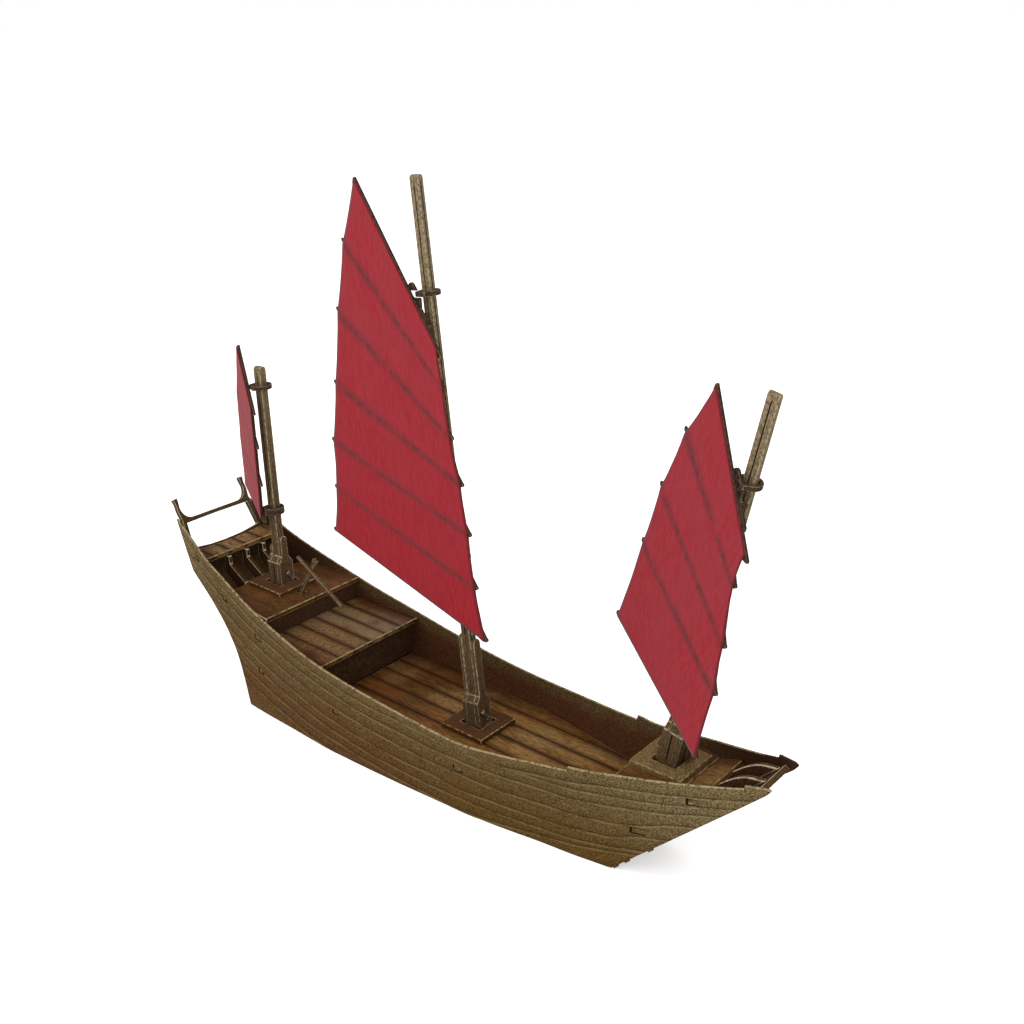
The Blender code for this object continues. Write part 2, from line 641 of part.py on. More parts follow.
def mast_pegs():
    """Wedges with notched ends, driven beside the masts' feet into the plates' holes."""
    for name, across, height, length in PEGS:
        _, foot_x, foot_z, rake, _ = next(row for row in MASTS if row[0] == name)
        half, end = 0.85, length / 2
        outline = [(-end, -half), (-end + 0.9, -half), (-end + 1.3, -half + 0.3), (end - 1.3, -half + 0.3),
                   (end - 0.9, -half), (end, -half), (end, -0.25), (end - 0.8, 0.0), (end, 0.25), (end, half),
                   (end - 0.9, half), (end - 1.3, half - 0.3), (-end + 1.3, half - 0.3), (-end + 0.9, half),
                   (-end, half), (-end, 0.25), (-end + 0.8, 0.0), (-end, -0.25)]
        angle = math.radians(rake)
        shift = (height - foot_z) * math.tan(angle) + (1.9 * SHEET + 2 * GAP) / math.cos(angle)
        turn = math.radians(PEG_TURN + 18.0)
        up = Vector((math.sin(angle), 0, math.cos(angle)))
        along = up * math.sin(turn) - Vector((0, 1, 0)) * math.cos(turn)
        side = up * math.cos(turn) + Vector((0, 1, 0)) * math.sin(turn)
        flat_piece("mast_%s_peg" % name, [outline], 0.8,
                   frame_at(world(foot_x + shift + 0.2, across, height), along, side), "mast")


def fore_lugs():
    """Rounded lugs that stand on the fore mast's plate before and abaft its foot."""
    _, foot_x, foot_z, rake, _ = next(row for row in MASTS if row[0] == "fore")
    origin, aft, up = mast_frame(foot_x, foot_z, rake)
    for label, sign, y, rows in FORE_LUGS:
        middle = origin + Vector((0, 1, 0)) * (y * MM)
        flat_piece("mast_fore_lug_" + label, [rows], SHEET * 0.9, frame_at(middle, aft * sign, up), "mast")


def mast_frames():
    for row in MASTS:
        mast(*row)
    mast_pegs()
    fore_lugs()


def sail_frame(name):
    """The sail's plane: along from luff to leech, up along the mast, across to port."""
    _, foot_x, foot_z, rake, _ = next(row for row in MASTS if row[0] == name)
    origin, aft, up = mast_frame(foot_x, foot_z, rake)
    swing = math.radians(SAILS[name]["swing"])
    along = aft * math.cos(swing) + Vector((0, 1, 0)) * math.sin(swing)
    across = Vector((0, 1, 0)) * math.cos(swing) - aft * math.sin(swing)
    return origin, along, up, across


def yard_line(spec):
    """The yard's foot, its direction, its length, and the direction from it into the sail."""
    yard_u, yard_w, peak_u, peak_w = spec["yard"]
    foot = Vector((yard_u, yard_w))
    line = Vector((peak_u, peak_w)) - foot
    along = line.normalized()
    return foot, along, line.length, Vector((along.y, -along.x))


def spar_outline(spec):
    """Outline of the frame: yard, luff spar with lugs, and battens that run out past the leech."""
    rows = spec["battens"]
    half = SPAR_WIDTH / 2
    reach = spec["lug"]
    foot, along, length, inward = yard_line(spec)
    outer = foot - inward * YARD_EDGE
    inner = foot + inward * (YARD_WIDTH - YARD_EDGE)
    outline = [outer + along * (length + 0.6), outer - along * 2.6, outer - along * 3.0 + inward * 0.6,
               Vector((foot.x + LUFF_INSET, (outer - along * 3.0).y))]
    for luff_u, luff_w, _, _ in reversed(rows):
        outline += [(luff_u + LUFF_INSET, luff_w + LUG_RISE), (luff_u - reach + 0.7, luff_w + 0.8),
                    (luff_u - reach, luff_w + 0.1), (luff_u - reach, luff_w - 0.5),
                    (luff_u - reach + 0.4, luff_w - 0.9), (luff_u + LUFF_INSET, luff_w - 0.9)]
    inset = LUFF_INSET + LUFF_WIDTH
    for i, (luff_u, luff_w, leech_u, leech_w) in enumerate(rows):
        slope = Vector((leech_u - luff_u, leech_w - luff_w)).normalized()
        tip = (leech_u + slope.x * TIP_LENGTH, leech_w + slope.y * TIP_LENGTH)
        rise = slope.y / slope.x * inset
        if i > 0:
            outline.append((luff_u + inset, luff_w + rise - half))
        else:
            outline.append((luff_u + inset, luff_w + rise - half - 0.3))
        outline += [(tip[0] - 0.3, tip[1] - half), (tip[0], tip[1] - 0.2), (tip[0], tip[1] + half - 0.2)]
        outline.append((luff_u + inset, luff_w + rise + half))
    meet = (rows[-1][0] + inset, rows[-1][1] + LUG_RISE)
    share = (foot.x + inset - inner.x) / along.x
    outline += [(max(meet[0], foot.x + inset), inner.y + along.y * share - 0.2), inner + along * (length - 0.4),
                foot + along * (length + 0.8)]
    return [tuple(point) for point in outline]


def sheet_outline(spec):
    """Outline of the cloth, hollow between the battens at luff and leech."""
    rows = spec["battens"]
    foot, along, length, inward = yard_line(spec)
    luff = [(row[0], row[1]) for row in rows] + [tuple(foot)]
    leech = [(row[2], row[3]) for row in rows] + [tuple(foot + along * length)]

    def scallop(points, pull):
        edge = []
        for a, b in zip(points, points[1:]):
            edge.append(a)
            edge.append(((a[0] + b[0]) / 2 + pull, (a[1] + b[1]) / 2))
        edge.append(points[-1])
        return edge

    head = [tuple(foot + along * share * length - inward * SHEET_EDGE) for share in (0.99, 0.02)]
    return scallop(leech, -0.5) + head + scallop(luff, 0.4)[::-1]


def collar(name, parent, matrix, thickness, mast_corner, reach):
    """A ring round the mast, cut flat where it meets the sail's frame."""
    hole_radius = mast_corner + RING_PLAY
    radius = hole_radius + RING_WALL
    ends = math.radians(38.0)
    outline = [(-RING_FOOT, -reach), (RING_FOOT, -reach)]
    outline += [(radius * math.cos(a), radius * math.sin(a))
                for a in np.linspace(-ends, math.pi + ends, 21)]
    hole = [(hole_radius * math.cos(a), hole_radius * math.sin(a))
            for a in np.linspace(0, 2 * math.pi, 21)[:-1]]
    flat_piece(name, [outline, hole], thickness, matrix, "spar", parent)


def doubler_outlines(spec):
    """The upper ring's bracket on the yard: a tapered strip and a rounded lug, parted where the ring passes."""
    start, end, outer, inner = spec["doubler"]
    foot, along, _, inward = yard_line(spec)
    height = spec["rings"][0]
    middle = (height - foot.y) / along.y
    clear = spec["ring_sheet"][0] / 2 + GAP + 0.1

    def at(place, depth):
        return tuple(foot + along * (middle + place) + inward * depth)

    def level(rise, depth):
        return at((rise + depth * along.x) / along.y, depth)

    strip = [at(start, 0.4), at(start + 0.8, -0.3), at(-6.0, -0.4), at(-4.4, outer * 0.6),
             level(-clear, outer), level(-clear, inner), at(start, inner)]
    lug = [level(clear, inner - 0.9), level(clear, outer), at(end - 1.0, outer + 0.1), at(end - 0.2, outer + 0.7),
           at(end, outer + 1.6), at(end - 0.3, inner - 0.9)]
    return [("", strip), ("_tip", lug)]


def sail(name):
    """One sail on an empty at the mast's foot: sheet, spar frame, two rings and the bracket of the upper one."""
    spec = SAILS[name]
    origin, along, up, across = sail_frame(name)
    pivot = empty_at("pivot_sail_" + name, frame_at(origin, along, up))
    sheet_centre = origin - across * (SAIL_OFFSET * MM)
    frame_centre = sheet_centre + across * ((CLOTH / 2 + FRAME_SHEET / 2 + GAP) * MM)
    flat_piece("sail_%s_sheet" % name, [sheet_outline(spec)], CLOTH, frame_at(sheet_centre, along, up), "sail",
               pivot)
    flat_piece("sail_%s_spars" % name, [spar_outline(spec)], FRAME_SHEET, frame_at(frame_centre, along, up), "spar",
               pivot)
    low, high = SHAFT_HALF[name]
    reach = SAIL_OFFSET - CLOTH / 2 - FRAME_SHEET - 2 * GAP
    for label, height, thickness in zip(("upper", "lower"), spec["rings"], spec["ring_sheet"]):
        half = low if label == "lower" else high + 0.3
        centre = origin + up * (height * MM)
        collar("sail_%s_ring_%s" % (name, label), pivot, frame_at(centre, along, across), thickness,
               math.hypot(half, SHEET), reach)
    if spec["doubler"]:
        centre = origin - across * ((reach - DOUBLER_SHEET / 2) * MM)
        for label, outline in doubler_outlines(spec):
            flat_piece("sail_%s_doubler%s" % (name, label), [outline], DOUBLER_SHEET,
                       frame_at(centre, along, up), "spar", pivot)


def rudder():
    """Stock, blade and tiller on an empty on the stock's line."""
    rake = math.radians(STOCK_RAKE)
    up = Vector((math.sin(rake), 0, math.cos(rake)))
    forward = Vector((math.cos(rake), 0, -math.sin(rake)))
    port = Vector((0, 1, 0))
    deck_point = world(STOCK_DECK_X, 0, AFT_DECK_TOP)
    pivot = empty_at("pivot_rudder", frame_at(deck_point, forward, up))
    half = STOCK_SIZE / 2
    wide, tall = STOCK_HEAD
    blade_low = -52.0
    stock = [(-half, blade_low), (half, blade_low), (half, STOCK_TOP - tall - 0.6), (wide, STOCK_TOP - tall),
             (wide, STOCK_TOP), (0.5, STOCK_TOP), (0.0, STOCK_TOP - 0.7), (-0.5, STOCK_TOP), (-wide, STOCK_TOP),
             (-wide, STOCK_TOP - tall), (-half, STOCK_TOP - tall - 0.6)]
    flat_piece("rudder_stock", [stock], STOCK_SIZE, frame_at(deck_point, forward, up), "mast", pivot)
    blade = [(-half - GAP, -34.0), (-half - 8.0, -31.0), (-half - 15.0, -31.5), (-half - 17.5, -34.5),
             (-half - 10.0, -51.0), (-half - GAP, -51.0)]
    flat_piece("rudder_blade", [blade], SHEET, frame_at(deck_point, forward, up), "hull", pivot)
    bar = TILLER_SIZE / 2
    aft, fore = TILLER_REACH
    centre = deck_point + up * (TILLER_ALONG * MM) - port * ((half + bar + GAP) * MM)
    tiller = [(-aft, -bar), (fore, -bar), (fore, bar), (-aft, bar)]
    flat_piece("tiller", [tiller], TILLER_SIZE, frame_at(centre, forward, up), "mast", pivot)


clear_scene()
PARTS = new_collection("chinese_junk_model")
CUTTERS = new_collection("cutters")
hull()
decks()
stern_ribs()
bow_knees()
mast_frames()
for sail_name in SAILS:
    sail(sail_name)
rudder()
bpy.context.view_layer.update()
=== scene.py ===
"""Looks of the laser-cut junk model: painted boards with light worn edges, engraved sides and crimson sails.

Lengths are millimetres. The hull's tables give x forward of the main mast's foot, y to port and z above the
floor. The sails' tables give u aft of the mast's axis, in the sail's own plane, and w up the mast.
"""
import math

import bmesh
import bpy
import numpy as np
from mathutils import Matrix, Vector

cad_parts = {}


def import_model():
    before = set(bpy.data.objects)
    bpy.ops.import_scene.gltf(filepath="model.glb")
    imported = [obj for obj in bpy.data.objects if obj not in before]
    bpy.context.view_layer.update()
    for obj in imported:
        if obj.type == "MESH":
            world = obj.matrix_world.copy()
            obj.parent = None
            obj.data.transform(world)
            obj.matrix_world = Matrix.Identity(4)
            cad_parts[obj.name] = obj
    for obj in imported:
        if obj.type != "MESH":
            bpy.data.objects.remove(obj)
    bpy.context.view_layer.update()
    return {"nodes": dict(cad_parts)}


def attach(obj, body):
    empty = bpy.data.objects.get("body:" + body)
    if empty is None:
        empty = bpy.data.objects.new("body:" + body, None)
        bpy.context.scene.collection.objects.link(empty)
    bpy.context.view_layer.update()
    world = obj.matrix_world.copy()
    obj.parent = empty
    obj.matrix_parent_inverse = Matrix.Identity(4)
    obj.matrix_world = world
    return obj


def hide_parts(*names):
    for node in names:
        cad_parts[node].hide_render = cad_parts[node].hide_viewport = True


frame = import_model()
NODES = frame["nodes"]

MM = 0.001
# The frame's origin lies this far abaft the main mast's foot
STATION_X = 14.95

# Camera, solved from the photo: place in metres, turn in degrees, lens
CAMERA_PLACE = (0.28012, -0.301598, 0.27495)
CAMERA_TURN = (67.5558, 0.0, 39.5416)
CAMERA_LENS = 43.46
# Lights: name, place and size in metres, power
LIGHTS = [("key", (0.08, -0.9, 1.12), 1.5, 7.0), ("fill", (-0.95, -0.5, 0.7), 0.9, 3.0)]
LIGHT_AIM = (0, 0, 0.05)
FLOOR_HALF = 12.0

# Hull: the corners of its profile, and the thickness of its bent sides
SIDE_SHEET = 1.0
STERN_TOP_X = -153.1
STERN_TOP_Z = 71.3
TRANSOM_FOOT_X = -142.8
BOTTOM_AFT_X = -108.2
BOTTOM_FORE_X = 71.4
STEM_TOP_X = 125.4
STEM_TOP_Z = 52.2
TIP_X = 125.7
TIP_ROUND = 1.9
# The bow's raised rail: where it begins, its height over the gunwale, its step's height and length
RAIL_X = 57.4
RAIL_RISE = 0.7
RAIL_STEP = 1.0
RAIL_STEP_LENGTH = 9.0
# The lug at each bow tip: where it begins, its height over the gunwale, and its fall toward the tip
LUG_X = 117.8
LUG_RISE = 1.9
LUG_FALL = 1.3
# Gunwale: place along the hull, half breadth, height
GUNWALE = [
    (-153.1, 18.8, 71.5), (-140.0, 20.9, 65.0), (-130.0, 22.3, 59.8), (-120.0, 23.4, 56.0),
    (-100.0, 26.0, 49.4), (-80.0, 27.7, 44.1), (-60.0, 28.9, 40.1), (-40.0, 28.8, 37.1), (-20.0, 28.2, 35.0),
    (0.0, 27.8, 33.6), (15.0, 27.5, 33.3), (30.0, 25.6, 34.4), (45.0, 23.1, 36.0), (57.4, 21.2, 37.4),
    (70.0, 18.9, 39.9), (90.0, 16.3, 44.2), (110.0, 12.7, 48.9), (118.0, 11.2, 51.2), (127.6, 8.8, 53.9),
]
# The sides' outward lean: place along the hull, breadth gained for each millimetre of height
FLARE = [(-153, 0.0), (-120, 0.01), (-108, 0.038), (-80, 0.074), (-50, 0.098), (-20, 0.115), (0, 0.145),
         (20, 0.17), (40, 0.16), (55, 0.143), (70, 0.128), (85, 0.15), (100, 0.165), (128, 0.165)]
# The stern's profile: place along the hull, height
STERN_CURVE = [(-142.8, 51.2), (-133.5, 45.4), (-125.1, 38.9), (-117.5, 30.4), (-111.6, 18.0), (-109.4, 7.0),
               (-108.2, 0.0)]

# The strakes' lower edges: where the line begins if not at the stern, then (place along the hull, depth
# below the gunwale)
STRAKES = [
    (26.0, [(-152, 3), (20, 3.2), (28, 5.8), (128, 5.2)]),
    (None, [(-151, 5), (-100, 5.6), (-30, 5.6), (-15, 4.6), (0, 4), (13, 3.5), (26, 5.4), (38, 6.7),
            (50, 7.8), (61, 8.7), (72, 9.4), (83, 9.7), (94, 9.5), (104, 9.1)]),
    (None, [(-100, 10.5), (-63, 10), (-30, 10.5), (0, 9.5), (13, 8.8), (26, 9.9), (38, 10.9),
            (50, 12.1), (61, 12.9), (72, 13.7), (94, 13.4), (104, 12.5)]),
    (None, [(-102, 17.1), (-64, 16.6), (-16, 16.7), (0, 16.2), (13, 15.3), (25, 16.9), (37, 18),
            (49, 18.8), (61, 19.9), (72, 20.9), (83, 20.3), (93, 18.2)]),
    (None, [(-104, 23.2), (-49, 23.8), (-17, 23.5), (-3, 22.5), (25, 23.5), (37, 24.9), (48, 25.8),
            (60, 26.2), (71, 27.2), (82, 25.1)]),
    (None, [(-85, 28.5), (-34, 29.2), (-3, 28.4), (11, 27.4), (24, 28.5), (36, 29.5), (48, 30.5),
            (71, 31.5)]),
    (None, [(-86, 34.5), (-68, 34.5), (-51, 33.6)]),
    (None, [(-88, 40.5), (-60, 40.5)]),
]
# Length over which a strake's edge rises from nothing where its line begins
STRAKE_START = 5.0
# Profile across one strake's edge: depth below the edge, outward, dark groove with painted shade under the
# edge, light lip partly dry-brushed and partly a painted highlight
STRAKE_PROFILE = [(-1.5, -0.10, 0.6, 0.0), (-1.3, -0.26, 1.0, 0.0), (-1.1, -0.28, 1.0, 0.0),
                  (-0.9, -0.02, 0.0, 0.9), (-0.4, 0.0, 0.0, 1.0), (-0.05, -0.03, 0.0, 0.5),
                  (0.15, -0.10, 0.1, 0.0)]
# The sides' plain face outside: outward
SIDE_FACE = -0.1
# Profile over the rim, outside: depth below the rim, outward, rubbed light
RIM_OUTSIDE = [(0.0, -0.28, 1.0), (0.2, -0.08, 1.0), (0.5, -0.08, 0.0)]
# Profile over the rim, inside: depth below the rim, outward from the inner face, plain inside, rubbed light
RIM_INSIDE = [(0.08, 0.05, 0.3, 0.6), (0.0, 0.2, 0.0, 1.0)]
INNER_ROWS = 9
# The port tip's rim takes the inside's paint and painted shade forward of this place
DARK_RIM_X = 112

# Slots in the sides for the decks' tabs: place along the hull, height, length and width of the tab's end
TAB_SLOTS = [(-138.2, 58.6, 2.4, 1.2), (-118.6, 46.6, 2.6, 1.4), (-96.0, 37.0, 3.4, 1.8),
             (-96.8, 21.0, 2.4, 1.7), (-50.0, 20.9, 2.2, 1.5), (12.0, 21.0, 3.4, 1.9), (82.0, 20.6, 4.8, 1.9),
             (102.0, 40.4, 4.8, 1.9)]
# A slot is longer and wider than its tab's end, and its cut is centred outside the side's face
SLOT_PLAY = 0.9
SLOT_CUT = 4.0
SLOT_OUT = 1.4
TAB_PLAY = 0.1
TAB_THICK = 0.7
TAB_IN = 0.6
# The bow board's tabs: places along the stem from its foot, size, and the stem's advance for each millimetre
STEM_TABS = (1.9, 7.8, 20.0)
STEM_TAB_SIZE = (2.2, 0.9, 0.85)
STEM_ADVANCE = 0.719

# Masts: foot forward of the main mast's, height of the foot, rake forward in degrees
MASTS = {"main": (-0.3, 24.0, -7.05), "fore": (84.5, 43.4, 11.62), "mizzen": (-109.6, 49.6, -2.39)}
# Length, shoulder of the foot, half width low and high, tops of the fore and the aft cheek
MAST_SIZES = {"main": (200.1, 9.0, 1.8, 1.3, 34.2, 35.3), "fore": (133.9, 12.0, 1.8, 1.3, 15.0, 16.6),
              "mizzen": (92.1, 9.0, 1.7, 1.6, 20.5, 16.0)}
# From a mast's axis: to the foot's side, to the core's fore or aft face, to a cheek's outer face
FOOT_HALF = 3.5
CORE_HALF = 2.0
CHEEK_FACE = 3.65
# Grooves along a mast's layers: width of the bar that cuts them, and the height where a side groove bends
GROOVE = 0.32
GROOVE_BEND = 36.0

# Sails: swing from the centre line in degrees, how faded the paint is at foot and head, how much painted
# shade darkens it, then the lines of the battens and the yard by their luff and leech ends: (u, w, u, w)
SAILS = {
    "main": {
        "swing": 6.0, "faded": (0.0, 0.9), "painted_shade": 0.0,
        "battens": [(-15.9, 39.0, 67.2, 65.8), (-13.7, 58.6, 62.3, 84.3), (-13.3, 78.4, 59.7, 103.6),
                    (-12.1, 96.5, 53.1, 126.5), (-9.5, 112.8, 45.5, 153.9), (-8.7, 129.6, 36.9, 178.3)],
        "yard": (-7.1, 143.0, 26.4, 199.8),
    },
    "fore": {
        "swing": 24.0, "faded": (0.9, 1.0), "painted_shade": 0.04,
        "battens": [(-17.0, 15.6, 38.3, 31.8), (-16.9, 41.2, 34.4, 63.4), (-14.8, 57.6, 32.2, 85.6),
                    (-11.7, 77.2, 27.2, 107.4)],
        "yard": (-12.0, 88.6, 19.1, 127.1),
    },
    "mizzen": {
        "swing": 27.0, "faded": (1.0, 1.0), "painted_shade": 0.28,
        "battens": [(-1.2, 28.2, 26.6, 35.4), (-2.8, 44.6, 25.2, 57.0), (-3.8, 60.8, 21.8, 77.0)],
        "yard": (-4.4, 76.6, 11.6, 98.3),
    },
}
# From a mast's axis to its sail's plane, the sheet's reach past the yard's line, and its thickness
SAIL_OFFSET = 6.0
SHEET_EDGE = 0.7
CLOTH = 0.4
SAIL_COLUMNS = 44
PANEL_ROWS = 18
# Between two battens: the hollow of the luff and of the leech, the sheet's fullness and its ripple
HOLLOW = (0.4, 0.5)
FULLNESS = 0.12
RIPPLE = 0.04
# A batten's dark band: its half width, and its share at the foot and at the yard
BAND = 3.6
BAND_AT_ENDS = 0.35

# Planks of the decks, and the bars that engrave their joints
PLANK = 8.5
PLANK_LINES = [n * PLANK for n in range(-3, 4)]
JOINT_SECTION = (0.42, 0.5)
JOINT_INSET = 1.6
# Planked decks: height, aft end, fore end, half breadth of the planked part
PLANKED = {"main_deck": (22.0, -58.8, 73.6, 26.0), "second_deck": (38.0, -93.0, -57.2, 27.0),
           "poop_seat": (59.8, -143.0, -132.0, 19.0)}
# Wear of the boards' edges
WELD_WITHIN = 0.004
WORN_ANGLE = 28
DECK_WEAR = 0.35


def curve_through(table, x, column=1):
    """Smooth value of a table's column at x: cubic pieces with averaged slopes."""
    places = [row[0] for row in table]
    values = [row[column] for row in table]
    steps = np.diff(values) / np.diff(places)
    slopes = [steps[0]] + [(a + b) / 2 for a, b in zip(steps, steps[1:])] + [steps[-1]]
    i = int(np.clip(np.searchsorted(places, x) - 1, 0, len(places) - 2))
    width = places[i + 1] - places[i]
    t = min(max((x - places[i]) / width, 0.0), 1.0)
    return ((2 * t ** 3 - 3 * t ** 2 + 1) * values[i] + (t ** 3 - 2 * t ** 2 + t) * width * slopes[i]
            + (3 * t ** 2 - 2 * t ** 3) * values[i + 1] + (t ** 3 - t ** 2) * width * slopes[i + 1])


def gunwale_height(x):
    return curve_through(GUNWALE, x, 2)


def rail_height(x):
    """Height of a side's upper edge: the gunwale, with the bow's raised rail and the lug at its tip."""
    height = gunwale_height(x)
    if x > RAIL_X:
        height += RAIL_RISE + RAIL_STEP * max(0.0, 1 - (x - RAIL_X) / RAIL_STEP_LENGTH)
    if x > LUG_X:
        height += LUG_RISE - RAIL_RISE - LUG_FALL * (x - LUG_X) / (TIP_X - LUG_X)
    return height


def half_breadth(x, z):
    """From the middle of the hull to a side's outer face, at a height."""
    flare = float(np.interp(x, [row[0] for row in FLARE], [row[1] for row in FLARE]))
    return curve_through(GUNWALE, x, 1) - flare * (gunwale_height(x) - z)


def keel_height(x):
    """Height of a side's lower edge: transom, stern, bottom and stem."""
    if x < TRANSOM_FOOT_X:
        share = (x - STERN_TOP_X) / (TRANSOM_FOOT_X - STERN_TOP_X)
        return STERN_TOP_Z + share * (STERN_CURVE[0][1] - STERN_TOP_Z)
    if x < BOTTOM_AFT_X:
        return curve_through(STERN_CURVE, x)
    if x > BOTTOM_FORE_X:
        return (x - BOTTOM_FORE_X) / (STEM_TOP_X - BOTTOM_FORE_X) * STEM_TOP_Z
    return 0.0


def side_heights(x):
    """Lower and upper edge of the side, with the end lug's tip rounded off."""
    low = keel_height(x)
    high = max(rail_height(x), low + 0.3)
    if x > TIP_X - TIP_ROUND:
        share = min((x - TIP_X + TIP_ROUND) / TIP_ROUND, 1.0)
        middle = (low + high) / 2
        half = (high - low) / 2 * max(math.sqrt(1 - share ** 2), 0.12)
        return middle - half, middle + half
    return low, high


def world(x, y, z):
    """A point of the hull's tables in the frame's metres."""
    return Vector(((x + STATION_X) * MM, y * MM, z * MM))


def frame_at(origin, along, up):
    """Axes at a point: along, up, and square to both."""
    along = Vector(along).normalized()
    up = Vector(up).normalized()
    matrix = Matrix((along, up, along.cross(up))).transposed().to_4x4()
    matrix.translation = origin
    return matrix


class Paint:
    """A procedural paint, built from nodes on the object's own coordinates."""

    def __init__(self, name, roughness, specular):
        self.material = bpy.data.materials.new(name)
        self.material.use_nodes = True
        self.nodes = self.material.node_tree.nodes
        self.links = self.material.node_tree.links
        self.shader = self.nodes["Principled BSDF"]
        self.shader.inputs["Roughness"].default_value = roughness
        self.shader.inputs["Specular IOR Level"].default_value = specular
        self.coordinates = self.nodes.new("ShaderNodeTexCoord").outputs["Object"]
        self.axes = None

    def feed(self, value, socket):
        if isinstance(value, (int, float)):
            socket.default_value = value
        elif isinstance(value, tuple):
            socket.default_value = (*value, 1.0)
        else:
            self.links.new(value, socket)

    def calculate(self, operation, a, b=0.0):
        node = self.nodes.new("ShaderNodeMath")
        node.operation = operation
        self.feed(a, node.inputs[0])
        self.feed(b, node.inputs[1])
        return node.outputs[0]

    def times(self, a, b):
        return self.calculate("MULTIPLY", a, b)

    def plus(self, a, b):
        return self.calculate("ADD", a, b)

    def minus(self, a, b):
        return self.calculate("SUBTRACT", a, b)

    def larger(self, a, b):
        return self.calculate("MAXIMUM", a, b)

    def unsigned(self, a):
        return self.calculate("ABSOLUTE", a)

    def mix(self, share, a, b):
        node = self.nodes.new("ShaderNodeMix")
        node.data_type = "RGBA"
        for socket, value in ((node.inputs[0], share), (node.inputs[6], a), (node.inputs[7], b)):
            self.feed(value, socket)
        return node.outputs[2]

    def noise(self, scale, detail=2.0, stretch=(1, 1, 1), shift=0.0):
        mapping = self.nodes.new("ShaderNodeMapping")
        mapping.inputs["Scale"].default_value = stretch
        mapping.inputs["Location"].default_value = (shift, shift, shift)
        self.links.new(self.coordinates, mapping.inputs["Vector"])
        node = self.nodes.new("ShaderNodeTexNoise")
        node.inputs["Scale"].default_value = scale
        node.inputs["Detail"].default_value = detail
        node.inputs["Roughness"].default_value = 0.6
        self.links.new(mapping.outputs[0], node.inputs["Vector"])
        return node.outputs[0]

    def ramp(self, value, low, high):
        """Rises smoothly from 0 at low to 1 at high; low may be the larger."""
        node = self.nodes.new("ShaderNodeMapRange")
        node.interpolation_type = "SMOOTHSTEP"
        self.feed(value, node.inputs["Value"])
        node.inputs["From Min"].default_value = low
        node.inputs["From Max"].default_value = high
        return node.outputs[0]

    def axis(self, index):
        if self.axes is None:
            node = self.nodes.new("ShaderNodeSeparateXYZ")
            self.links.new(self.coordinates, node.inputs[0])
            self.axes = node.outputs
        return self.axes[index]

    def attribute(self, name):
        node = self.nodes.new("ShaderNodeAttribute")
        node.attribute_name = name
        return node.outputs["Fac"]

    def finish(self, colour, height, strength):
        """Colour the shader and raise a fine bump from the height."""
        self.feed(colour, self.shader.inputs["Base Color"])
        bump = self.nodes.new("ShaderNodeBump")
        bump.inputs["Strength"].default_value = strength
        bump.inputs["Distance"].default_value = 0.0001
        self.links.new(height, bump.inputs["Height"])
        self.links.new(bump.outputs[0], self.shader.inputs["Normal"])
        return self.material


def board_paint(name, dark, light, accent, grain=(1, 1, 1), scale=1300, roughness=0.8, specular=0.08):
    """Stained board with a speckled dry-brush and slow changes of tone."""
    paint = Paint(name, roughness, specular)
    speckle = paint.ramp(paint.noise(scale, 2.0, grain), 0.34, 0.68)
    mottle = paint.ramp(paint.noise(220, 3.0, grain, 3.0), 0.35, 0.68)
    patch = paint.ramp(paint.noise(45, 2.0, (1, 1, 1), 7.0), 0.4, 0.65)
    tone = paint.mix(paint.times(speckle, 0.65), dark, light)
    tone = paint.mix(paint.times(mottle, 0.3), tone, dark)
    tone = paint.mix(paint.times(patch, 0.45), tone, accent)
    return paint, tone, speckle


def plain_board(name, dark, light, accent, scale=1300):
    paint, tone, speckle = board_paint(name, dark, light, accent, scale=scale)
    return paint.finish(tone, speckle, 0.25)


def edge_paint(name, base, light, cover=0.45, scale=900):
    """A cut edge with the dry-brush caught on it in broken strokes."""
    paint = Paint(name, 0.75, 0.08)
    broken = paint.ramp(paint.noise(scale, 2.0), cover - 0.1, cover + 0.14)
    grain = paint.ramp(paint.noise(2400, 1.0, (1, 1, 1), 5.0), 0.3, 0.7)
    tone = paint.mix(paint.times(broken, 0.9), base, light)
    tone = paint.mix(paint.times(grain, 0.25), tone, base)
    return paint.finish(tone, grain, 0.2)


